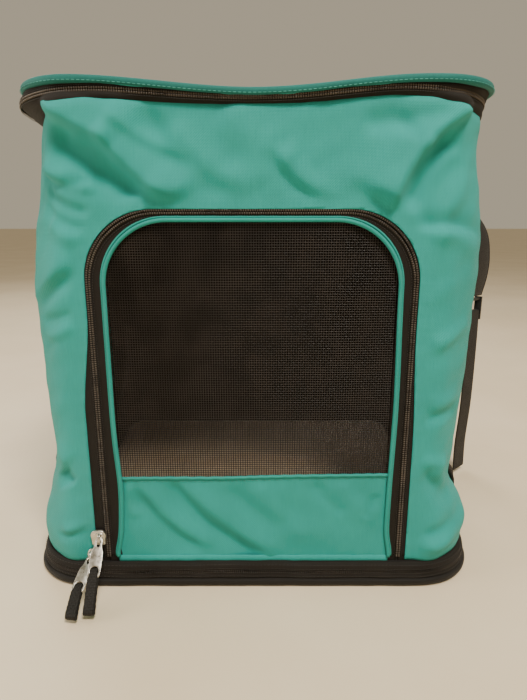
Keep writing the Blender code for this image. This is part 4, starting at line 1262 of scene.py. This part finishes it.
def make_side(side, sign):
    def window_place(u, z, out):
        share = np.clip(-window_gap(u, z) / 0.05, 0, 1)
        return on_wall(u * sign, z, out - 0.0012 + 0.0022 * share)

    box = (WINDOW["low"], WINDOW["high"])
    window = net(f"{side}_window_net", box, lambda u, z: window_gap(u, z) - 0.003, window_place,
                 flip=sign < 0)
    settle(window, "bag", "mesh", f"{side}_side_mesh")
    line = rounded_path(WINDOW["low"], WINDOW["high"], WINDOW["radius"], 0.003)
    points, outs = side_path(sign, line, 0.0006)
    strip = oval(0.0085, 0.0018, 12, 3)
    settle(sweep(f"{side}_window_edge", points, outs, strip, webbing, closed=True), "bag", "webbing")
    low = np.array([u_of_y(POCKET_LOW.y), POCKET_LOW.z])
    high = np.array([u_of_y(POCKET_HIGH.y), POCKET_TOP - 0.010])
    size = high - low

    def belly(u, z):
        fu, fz = np.clip((u - low[0]) / size[0], 0, 1), np.clip((z - low[1]) / size[1], 0, 1)
        slump = np.sin(pi * fu) ** 0.7 * (0.35 + np.sin(pi * fz ** 0.8)) * ease(fz / 0.12)
        return 0.0034 + 0.0058 * slump + 0.0008 * ripple(u, z, 111, 0.03) * np.sin(pi * fu)

    def pocket_gap(u, z):
        return round_box(u, z, low, high + (0, 0.02), POCKET_RADIUS) + 0 * u

    def pocket_place(u, z, out):
        return on_wall(u * sign, z, out + belly(u, z))

    pocket = net(f"{side}_pocket_net", (low, high), lambda u, z: np.maximum(pocket_gap(u, z), z - high[1]),
                 pocket_place, flip=sign < 0)
    settle(pocket, "bag", "mesh", f"{side}_pocket_mesh")
    turn = np.linspace(0, pi / 2, 12)
    r = POCKET_RADIUS
    left = [(low[0], high[1])] + [(low[0] + r - r * cos(t), low[1] + r - r * sin(t)) for t in turn]
    right = [(high[0] - r + r * sin(t), low[1] + r - r * cos(t)) for t in turn] + [(high[0], high[1])]
    line = spaced(left + right, 0.003)
    u, z = line[:, 0] * sign, line[:, 1]
    points, outs = on_wall(u, z, 0.0022), wall(u, z)[1]
    settle(sweep(f"{side}_pocket_edge", points, outs, oval(0.0078, 0.0034, 12, 2.6), webbing), "bag",
           "webbing")
    u = np.linspace(low[0] - 0.002, high[0] + 0.002, 90)
    gather = 0.0007 * np.sin(u * 2 * pi / 0.0055 + np.sin(u * 160))
    z = np.full(90, high[1] + 0.0045)
    rise = ease((u - low[0]) / 0.02) * ease((high[0] - u) / 0.02)
    points = on_wall(u * sign, z, 0.0026 + 0.0030 * rise + gather)
    fat = 1 + 0.08 * np.sin(u * 2 * pi / 0.0055)
    band = oval(0.0110, 0.0030, 14, 2.6)[None] * fat[:, None, None]
    settle(sweep(f"{side}_pocket_elastic", points, wall(u * sign, z)[1], band, webbing), "bag", "webbing",
           f"{side}_pocket_binding")


# ---- back and inside ----
PAD_RINGS, RING_POINTS, BLOW_FRAMES = 5, 160, 20


def puffed(name, low, high, radius, voxel, pressure, cap, finish):
    """A stuffed pad: a rounded slab, remeshed and blown up by cloth simulation, capped and smoothed."""
    axis = int(np.argmin(np.array(high) - np.array(low)))
    flat = [k for k in range(3) if k != axis]
    low, high = np.array(low, float), np.array(high, float)
    rows = []
    for share in np.linspace(-1, 1, PAD_RINGS):
        pull = radius * 0.35 * share**2 * min(1.0, (high[axis] - low[axis]) / radius)
        line = rounded_path(low[flat] + pull, high[flat] - pull, radius - pull, 0.006)
        line = same_count(np.vstack([line, line[:1]]), RING_POINTS + 1)[:-1]
        row = np.zeros((RING_POINTS, 3))
        row[:, flat] = line
        row[:, axis] = (low[axis] + high[axis]) / 2 + share * (high[axis] - low[axis]) / 2
        rows.append(row)
    quads, ends = tube_quads(PAD_RINGS, RING_POINTS)
    thing = make_mesh(name, np.array(rows).reshape(-1, 3), list(quads) + ends, [finish])
    remesh = thing.modifiers.new("remesh", "REMESH")
    remesh.mode = "VOXEL"
    remesh.voxel_size = voxel
    thing.data = evaluated_mesh(thing)
    scene = bpy.context.scene
    rest = coordinates(thing.data)
    blow = thing.modifiers.new("blow", "CLOTH")
    blow.settings.use_pressure = True
    blow.settings.uniform_pressure_force = pressure
    blow.settings.effector_weights.gravity = 0
    blow.settings.quality = 4
    blow.point_cache.frame_end = BLOW_FRAMES
    for number in range(1, BLOW_FRAMES + 1):
        scene.frame_set(number)
    moved = coordinates(evaluated_mesh(thing, keep=True)) - rest
    thing.modifiers.clear()
    scene.frame_set(1)
    far = np.linalg.norm(moved, axis=1, keepdims=True)
    rest += moved * np.minimum(1, cap / np.maximum(far, 1e-9))
    thing.data.vertices.foreach_set("co", rest.astype(np.float32).ravel())
    soften = thing.modifiers.new("soften", "SUBSURF")
    soften.levels = soften.render_levels = 1
    thing.data = evaluated_mesh(thing)
    thing.data.shade_smooth()
    return thing


def coordinates(mesh):
    co = np.zeros(len(mesh.vertices) * 3, np.float32)
    mesh.vertices.foreach_get("co", co)
    return co.reshape(-1, 3).astype(float)


def evaluated_mesh(thing, keep=False):
    bpy.context.view_layer.update()
    mesh = bpy.data.meshes.new_from_object(thing.evaluated_get(bpy.context.evaluated_depsgraph_get()))
    if not keep:
        thing.modifiers.clear()
    return mesh


def reshape(thing, change):
    """Move a mesh's vertices by a function of their places."""
    co = coordinates(thing.data)
    thing.data.vertices.foreach_set("co", change(co).astype(np.float32).ravel())
    thing.data.update()
    return thing


def make_inside():
    low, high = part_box("floor_pad")
    swell = 0.0030
    pad = puffed("fleece_pad", low + Vector((swell, swell, 0.001)), high - Vector((swell, swell, swell)),
                 0.026, 0.006,
                 4.0, 0.006, fleece)

    def lumpy(co):
        top = ease((co[:, 2] - low.z) / (high.z - low.z))
        x, y = co[:, 0], co[:, 1]
        wave = 0.0022 * ripple(x, y, 121, 0.09) + 0.0008 * ripple(x, y, 122, 0.025)
        co[:, 2] += (wave + 0.003 + 0.010 * ease((co[:, 1] + 0.03) / 0.14)) * top
        co[:, 2] = np.clip(co[:, 2], low.z + 0.0002, high.z + 0.008)
        co[:, 0] = np.clip(co[:, 0], low.x, high.x)
        co[:, 1] = np.clip(co[:, 1], low.y, high.y)
        return co

    settle(reshape(pad, lumpy), "bag", "fleece", "floor_pad")


BACK_CLOTH_TOP = 0.3674  # where the back's cloth passes under the lid's hinge
PAD_CHANNEL_X, PAD_CHANNEL_Z = 0.038, 0.168  # places of the stitched channels in the back pad


def make_back():
    reach = BACK_SEAM + 0.006
    u, v = np.meshgrid(np.linspace(-reach, reach, 100), np.linspace(0, 1, 130), indexing="ij")
    z = WALL_LOW + v * (BACK_CLOTH_TOP - WALL_LOW)
    x = -u
    soft = 0.0006 * ripple(x, z, 131, 0.06) * ease((reach - 0.004 - abs(x)) / 0.02)
    y = BACK - 0.0012 + soft
    p = np.stack([x, y, z], -1)
    back = cloth("back_cloth", p, p[..., [0, 2]], [cloth_black, lining], 0.0014)
    settle(back, "bag", "webbing", "back_panel")
    for side, sign in (("right", 1), ("left", -1)):
        line = np.array([(sign * BACK_SEAM, BACK + 0.0006, z) for z in np.linspace(WALL_LOW, 0.367, 90)])
        line[:, 1] += 0.0003 * ripple(line[:, 2], line[:, 0], 132, 0.04)
        settle(sweep(f"{side}_back_seam", line, (0, 1, 0), oval(0.0090, 0.0018, 12, 3), webbing), "bag",
               "webbing")
        for shift in (-0.0034, 0.0034):
            points = spaced(line + (shift, 0.0008, 0), STITCH_PITCH)
            up = np.tile([0, 0, 1.0], (len(points), 1))
            settle(grains(f"{side}_back_stitches_{'in' if shift * sign < 0 else 'out'}", points, up,
                          np.array([[0, 1.0, 0]]), STITCH, black_thread), "bag", "webbing")
    low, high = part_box("back_padding")
    pad = puffed("back_pad", low + Vector((0.003, 0.0004, 0.003)), high - Vector((0.003, 0.0024, 0.003)),
                 0.030, 0.004,
                 3.0, 0.0030, strand_cloth)

    def channels(co):
        out = ease((co[:, 1] - low.y - 0.002) / 0.004)
        upright = hill(abs(co[:, 0]) - PAD_CHANNEL_X, 0.0035)
        level = hill(co[:, 2] - PAD_CHANNEL_Z, 0.0035) * (abs(co[:, 0]) < PAD_CHANNEL_X)
        dent = upright + level
        co[:, 1] -= 0.0042 * np.minimum(dent, 1) * out
        co[:, 1] = np.maximum(co[:, 1], low.y)
        return co

    settle(reshape(pad, channels), "bag", "mesh", "back_padding")
    edge = rounded_path((low.x + 0.001, low.z + 0.001), (high.x - 0.001, high.z - 0.001), 0.029, 0.003)
    points = np.stack([edge[:, 0], np.full(len(edge), low.y + 0.0014), edge[:, 1]], 1)
    settle(sweep("back_pad_edge", points, (0, 1, 0), oval(0.0050, 0.0030, 10, 2.4), webbing, closed=True),
           "bag",
           "webbing")


def make_handle():
    axis_y = next(j for j in frame["joints"] if j["name"] == "handle_swing")["pos_m"][1]
    route = [(-0.0450, 0.3500), (-0.0445, 0.336), (-0.040, 0.322), (-0.029, 0.3125), (-0.012, 0.309)]
    route = route + [(-x, z) for x, z in reversed(route)]
    line = through(route, 0.002)
    path = np.stack([line[:, 0], np.full(len(line), axis_y), line[:, 1]], 1)
    settle(sweep("grab_handle_web", path, (0, 1, 0), oval(0.0160, 0.0030, 14, 4), webbing), "handle",
           "webbing",
           "grab_handle")
    grip = path[abs(path[:, 0]) < 0.026]
    fat = 1 + 0.05 * ripple(grip[:, 0], grip[:, 2], 141, 0.02)
    swell = 0.85 + 0.15 * ease((0.026 - abs(grip[:, 0])) / 0.006)
    sleeve = oval(0.0185, 0.0072, 16, 2.4)[None] * (fat * swell)[:, None, None]
    settle(sweep("grab_handle_sleeve", grip, (0, 1, 0), sleeve, cloth_black), "handle", "webbing")
    for side in ("right", "left"):
        low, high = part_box(f"{side}_handle_anchor")
        mid = (low + high) / 2
        z = np.linspace(low.z - 0.001, high.z, 14)
        path = np.stack([np.full(14, mid.x), np.full(14, mid.y), z], 1)
        settle(sweep(f"{side}_handle_patch", path, (0, 1, 0), oval(0.0245, high.y - low.y, 14, 6), webbing),
               "bag",
               "webbing", f"{side}_handle_anchor")
        box_line = rounded_path((mid.x - 0.0100, low.z + 0.0015), (mid.x + 0.0100, high.z - 0.0025), 0.0015,
                                0.0030)
        points = np.stack([box_line[:, 0], np.full(len(box_line), high.y), box_line[:, 1]], 1)
        settle(grains(f"{side}_handle_stitches", points, directions(points, True), np.array([[0, 1.0, 0]]),
                      (0.0021, 0.0006, 0.0008), black_thread), "bag", "webbing")


# ---- zip hardware ----
PULL_REACH = 0.0050  # of a pull's axis above its slider's underside
DOOR_SLOPES = {"upper": 46, "lower": 63}
PULL_TURNS = {"upper": 0, "lower": -8}  # degrees each loose pull has twisted on its slider
LOOPS = {"upper": (0.0560, 0.0013), "lower": (0.0494, 0.0041)}  # webbing loops' reach and lean


def plate(name, outlines, thick, soft, finish):
    """A plate with soft edges in the XZ plane, its thickness along Y, from an outline and its holes."""
    curve = bpy.data.curves.new(name, "CURVE")
    curve.dimensions = "2D"
    curve.fill_mode = "BOTH"
    curve.extrude = thick / 2 - soft
    curve.bevel_depth = soft
    curve.bevel_resolution = 2
    curve.offset = -soft
    for outline in outlines:
        spline = curve.splines.new("POLY")
        spline.points.add(len(outline) - 1)
        spline.points.foreach_set("co", [c for x, y in outline for c in (x, y, 0, 1)])
        spline.use_cyclic_u = True
    holder = bpy.data.objects.new(name, curve)
    bpy.context.scene.collection.objects.link(holder)
    mesh = evaluated_mesh(holder, keep=True)
    bpy.data.objects.remove(holder)
    mesh.transform(Matrix.Rotation(pi / 2, 4, "X"))
    thing = bpy.data.objects.new(name, mesh)
    bpy.context.scene.collection.objects.link(thing)
    weld = thing.modifiers.new("weld", "WELD")
    weld.merge_threshold = 0.00002
    thing.data = evaluated_mesh(thing)
    thing.data.materials.clear()
    thing.data.materials.append(finish)
    thing.data.shade_smooth()
    thing.data.set_sharp_from_angle(angle=radians(38))
    return thing


def slider(name, matrix, length, width, bridge_shift, body, node):
    """A slider that travels along its own Z, lies on y = 0 and faces -Y, with a bridge for its pull."""
    right = [(0.10, 0.50), (0.30, 0.47), (0.44, 0.34), (0.50, 0.16), (0.46, -0.10), (0.43, -0.40),
             (0.36, -0.50)]
    outline = np.array(right + [(-x, z) for x, z in reversed(right)]) * (width, length)
    parts = [plate(name, [through(outline, 0.0006, True)], 0.0030, 0.0008, nickel)]
    reshape(parts[0], lambda co: co - (0, 0.0015, 0))
    crown = plate(name + "_crown", [through(outline * 0.72, 0.0006, True)], 0.0012, 0.0005, nickel)
    parts.append(reshape(crown, lambda co: co + (bridge_shift * 0.5, -0.0032, 0)))
    reach, rise = 0.0042, 0.0070
    arch_line = through([(-reach, -0.0026), (-reach * 0.92, -0.0056), (-reach * 0.45, -rise),
                         (reach * 0.45, -rise),
                         (reach * 0.92, -0.0056), (reach, -0.0026)], 0.0005)
    path = np.stack([np.full(len(arch_line), bridge_shift), arch_line[:, 1], arch_line[:, 0]], 1)
    d = directions(path)
    parts.append(sweep(name + "_bridge", path, np.cross(d, (1.0, 0, 0)), oval(0.0022, 0.0012, 10, 2.6),
                       nickel))
    whole = joined(parts, name)
    whole.data.transform(matrix)
    return settle(whole, body, "zip_metal", node)


def pull_outline(length):
    right = [(0.0016, 0.0012), (0.0030, -0.0006), (0.0032, -0.0050), (0.0038, -0.0080), (0.0049, -0.0112),
             (0.0051, 0.0060 - length), (0.0046, 0.0022 - length), (0.0026, -length)]
    return through(right + [(-x, z) for x, z in reversed(right)], 0.0005, True)


def pull(name, matrix, length, body, node):
    """A pull that hangs from its axis along its own -Z, with an eye and a round hole for webbing."""
    t = np.linspace(0, 2 * pi, 24, endpoint=False)
    eye = np.stack([0.0017 * np.cos(t), -0.0034 + 0.0027 * np.sin(t)], 1)
    hole = np.stack([0.0035 * np.cos(t), 0.0056 - length + 0.0036 * np.sin(t)], 1)
    thing = plate(name, [pull_outline(length), eye, hole], 0.0015, 0.00035, nickel)
    thing.data.transform(matrix)
    return settle(thing, body, "zip_metal", node)


def webbing_loop(name, matrix, tip, lean, body, node):
    """Webbing that passes through the pull's hole and is rolled and sewn at its end."""
    top, roll = -0.0245, 0.0023
    t = np.linspace(0, pi, 9)[1:-1]
    front = [(-0.0005, top + 0.0015), (-0.0013, top - 0.002), (-0.0014, top - 0.010),
             (-0.0016, 0.010 - tip),
             (-roll, 0.004 - tip)]
    end = [(-roll * cos(a), 0.0024 - tip - roll * sin(a)) for a in t]
    line = through(front + end + [(-y, z) for y, z in reversed(front)], 0.0010, True)
    share = np.clip((top - line[:, 1]) / (tip + top), 0, 1)
    path = np.stack([lean * share**1.4, line[:, 0], line[:, 1]], 1)
    d = directions(path, True)
    half = 0.76 + 0.34 * ease(share / 0.22) + 0.03 * np.sin(share * 40)
    strip = oval(0.0078, 0.0013, 12, 4)[None] * np.stack([half, np.ones_like(half)], 1)[:, None]
    thing = sweep(name, path, np.cross((1.0, 0, 0), d), strip, webbing, closed=True)
    s = np.linspace(0, 1, 14)
    core = np.stack([lean * 0.9 * s**1.4, 0.0 * s, top - 0.004 - (tip + top - 0.007) * s], 1)
    fill = sweep(name + "_fill", core, (0, -1, 0), oval(0.0072, 0.0026, 12, 3), webbing)
    whole = joined([thing, fill], name)
    whole.data.transform(matrix)
    return settle(whole, body, "webbing", node)


def make_hardware():
    joints = {j["name"]: j for j in frame["joints"]}
    for level, short in (("upper", "up"), ("lower", "low")):
        axis = Vector(joints[f"door_pull_{level}_swing"]["pos_m"])
        low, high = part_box(f"door_slider_{level}")
        x = (low.x + high.x) / 2
        seat = Matrix.Translation((x, axis.y + PULL_REACH, axis.z))
        slider(f"door_zip_slider_{level}", seat, 0.0130, 0.0126, axis.x - x, f"door_slider_{short}",
               f"door_slider_{level}")
        hang = Matrix.Translation(axis) @ Matrix.Rotation(radians(-DOOR_SLOPES[level]), 4, "X")
        hang = hang @ Matrix.Rotation(radians(-PULL_TURNS[level]), 4, "Y")
        body = f"door_pull_{short}"
        pull(f"door_zip_pull_{level}", hang, 0.0300, body, f"door_pull_{level}")
        webbing_loop(f"door_zip_loop_{level}", hang, *LOOPS[level], body, f"door_pull_loop_{level}")
    for side, sign in (("right", 1), ("left", -1)):
        axis = Vector(joints[f"lid_pull_{side}_swing"]["pos_m"])
        lie = (Matrix.Translation(axis) @ Matrix.Rotation(pi / 2 * sign, 4, "Z")
               @ Matrix.Rotation(pi / 2 * sign, 4, "Y"))
        slider(f"{side}_lid_zip_slider", lie @ Matrix.Translation((0, PULL_REACH, 0)), 0.0150, 0.0110, 0.0,
               f"lid_slider_{side}", f"{side}_lid_slider")
        pull(f"{side}_lid_zip_pull", lie, 0.0260, f"lid_pull_{side}", f"{side}_lid_pull")
    axis = Vector(joints["base_pull_swing"]["pos_m"])
    lie = Matrix.Translation(axis) @ Matrix.Rotation(pi, 4, "Z") @ Matrix.Rotation(pi / 2, 4, "Y")
    slider("base_zip_slider_metal", lie @ Matrix.Translation((0, PULL_REACH, 0)), 0.0130, 0.0100, 0.0,
           "base_zip_slider", "base_slider")
    pull("base_zip_pull_metal", lie, 0.0240, "base_zip_pull", "base_pull")


# ---- straps ----
# each strap in its own plane: radius from the upright axis, height, half width, thickness, twist in degrees
PAD_ROUTE = [
    (0.0005, 0.33, 0.0125, 0.0024, 0), (0.022, 0.33, 0.0125, 0.0026, 0), (0.042, 0.329, 0.015, 0.0042, 25),
    (0.062, 0.326, 0.0195, 0.007, 60), (0.09, 0.318, 0.022, 0.0085, 90), (0.112, 0.306, 0.022, 0.0088, 90),
    (0.126, 0.287, 0.022, 0.0088, 90), (0.131, 0.262, 0.022, 0.0086, 90), (0.1305, 0.24, 0.022, 0.008, 90),
    (0.1295, 0.2185, 0.0165, 0.005, 90),
]
WEB_HALF, WEB_THICK = 0.0125, 0.0017
WEB_POINTS = [
    (0.0005, 0.0525, 0), (0.02, 0.053, 0), (0.035, 0.056, 30), (0.058, 0.07, 75),
    (0.088, 0.098, 90), (0.113, 0.142, 90), (0.1245, 0.18, 90), (0.1257, 0.1965, 90),
    (0.1268, 0.2, 90), (0.1285, 0.2014, 90), (0.1302, 0.2, 90), (0.1313, 0.1965, 90),
    (0.1322, 0.15, 90), (0.132, 0.09, 90), (0.1295, 0.04, 90), (0.13, 0.006, 90),
]


def swung(side, angle, local):
    """Points of a strap's own frame, with X out from its upright axis, in the row frame."""
    a = radians(angle)
    x = STRAP_AXIS[0] + local[..., 0] * cos(a) - local[..., 1] * sin(a)
    y = STRAP_AXIS[1] + local[..., 0] * sin(a) + local[..., 1] * cos(a)
    return np.stack([x * side, y, local[..., 2]], -1)


def strap_frame(side, angle, radius, z, twist):
    """Path, width directions and outward directions of a strip in a strap's plane."""
    local = np.stack([radius, 0 * radius, z], 1)
    along = directions(local)
    upright = np.stack([-along[:, 2], 0 * z, along[:, 0]], 1)
    twist = np.radians(twist)[:, None]
    across = upright * np.cos(twist) + np.array([0, 1.0, 0]) * np.sin(twist)
    path = swung(side, angle, local)
    across = unit(swung(side, angle, local + across) - path)
    return path, across, np.cross(across, directions(path))


def make_strap(name, side, angle):
    body = f"{name}_strap"
    r, z, half, thick, twist = smooth_rows(PAD_ROUTE, 12).T
    path, across, outs = strap_frame(side, angle, r, z, twist)
    plump = 1 + 0.05 * ripple(z, r, 151, 0.035)
    shape = oval(2.0, 1.0, 22, 3.0)[None] * np.stack([half, thick * plump], 1)[:, None]
    pad = sweep(f"{name}_strap_padding", path, outs, shape, cloth_black)
    settle(pad, body, "webbing", f"{name}_strap_pad")
    for edge in (-1, 1):
        rim = path + across * ((half - 0.0012) * edge)[:, None]
        cut = oval(0.0046, 1.0, 12, 2.6)[None] * np.stack([np.ones_like(thick), thick * 0.70], 1)[:, None]
        label = "front" if edge < 0 else "rear"
        settle(sweep(f"{name}_strap_edge_{label}", rim, outs, cut, webbing), body, "webbing")
    keep = slice(30, len(path) - 4)
    for edge in (-1, 1):
        for face in (-1, 1):
            aside, above = (half - 0.0052) * edge, thick * 0.475 * face
            line = (path + across * aside[:, None] + outs * above[:, None])[keep]
            points = spaced(line, 0.0036)
            at, known = np.linspace(0, 1, len(points)), np.linspace(0, 1, len(line))
            normal = np.stack([np.interp(at, known, outs[keep][:, k]) for k in range(3)], 1) * face
            label = f"{'front' if edge < 0 else 'rear'}_{'in' if face < 0 else 'out'}"
            settle(grains(f"{name}_strap_stitches_{label}", points, directions(points), normal, STITCH,
                          black_thread), body, "webbing")
    r, z, twist = smooth_rows(WEB_POINTS, 10).T
    path, across, outs = strap_frame(side, angle, r, z, twist)
    settle(sweep(f"{name}_strap_web", path, outs, oval(2 * WEB_HALF, WEB_THICK, 14, 6), webbing), body,
           "webbing",
           f"{name}_strap_webbing")
    for level in ("upper", "lower"):
        low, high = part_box(f"{name}_{level}_anchor")
        mid_z = (low.z + high.z) / 2
        half = float(np.interp(mid_z, LEVELS[:, 0], LEVELS[:, 1]))
        centre = np.array([half - CORNER, BACK - CORNER])
        away = unit(np.array(STRAP_AXIS) - centre)
        ends = np.array([centre + away * (CORNER - 0.004), np.array(STRAP_AXIS) - away * 0.0006])
        line = np.linspace(ends[0], ends[1], 12)
        path = np.column_stack([line[:, 0] * side, line[:, 1], np.full(12, mid_z)])
        normal = np.array([-away[1] * side, away[0], 0.0])
        tab = sweep(f"{name}_{level}_tab", path, normal, oval(high.z - low.z, 0.0024, 14, 6), webbing)
        post = np.array([(STRAP_AXIS[0] * side, STRAP_AXIS[1], h) for h in np.linspace(low.z, high.z, 6)])
        fold = sweep(f"{name}_{level}_fold", post, (0, 1, 0), oval(0.0046, 0.0046, 12), webbing)
        settle(joined([tab, fold], f"{name}_{level}_tab"), "bag", "webbing", f"{name}_{level}_anchor")
    lock = frame["nodes"][f"{name}_ladder_lock"]
    for place in lock.material_slots:
        place.material = plastic
    soft = lock.modifiers.new("soft_edges", "BEVEL")
    soft.width = 0.0006
    soft.segments = 3
    soft.limit_method = "ANGLE"


make_stage()
keep_cad()
make_shell()
make_door()
make_base()
make_lid()
make_side("right", 1)
make_side("left", -1)
make_inside()
make_back()
make_handle()
make_hardware()
make_strap("right", 1, OUT_TURN)
make_strap("left", -1, BACK_TURN)
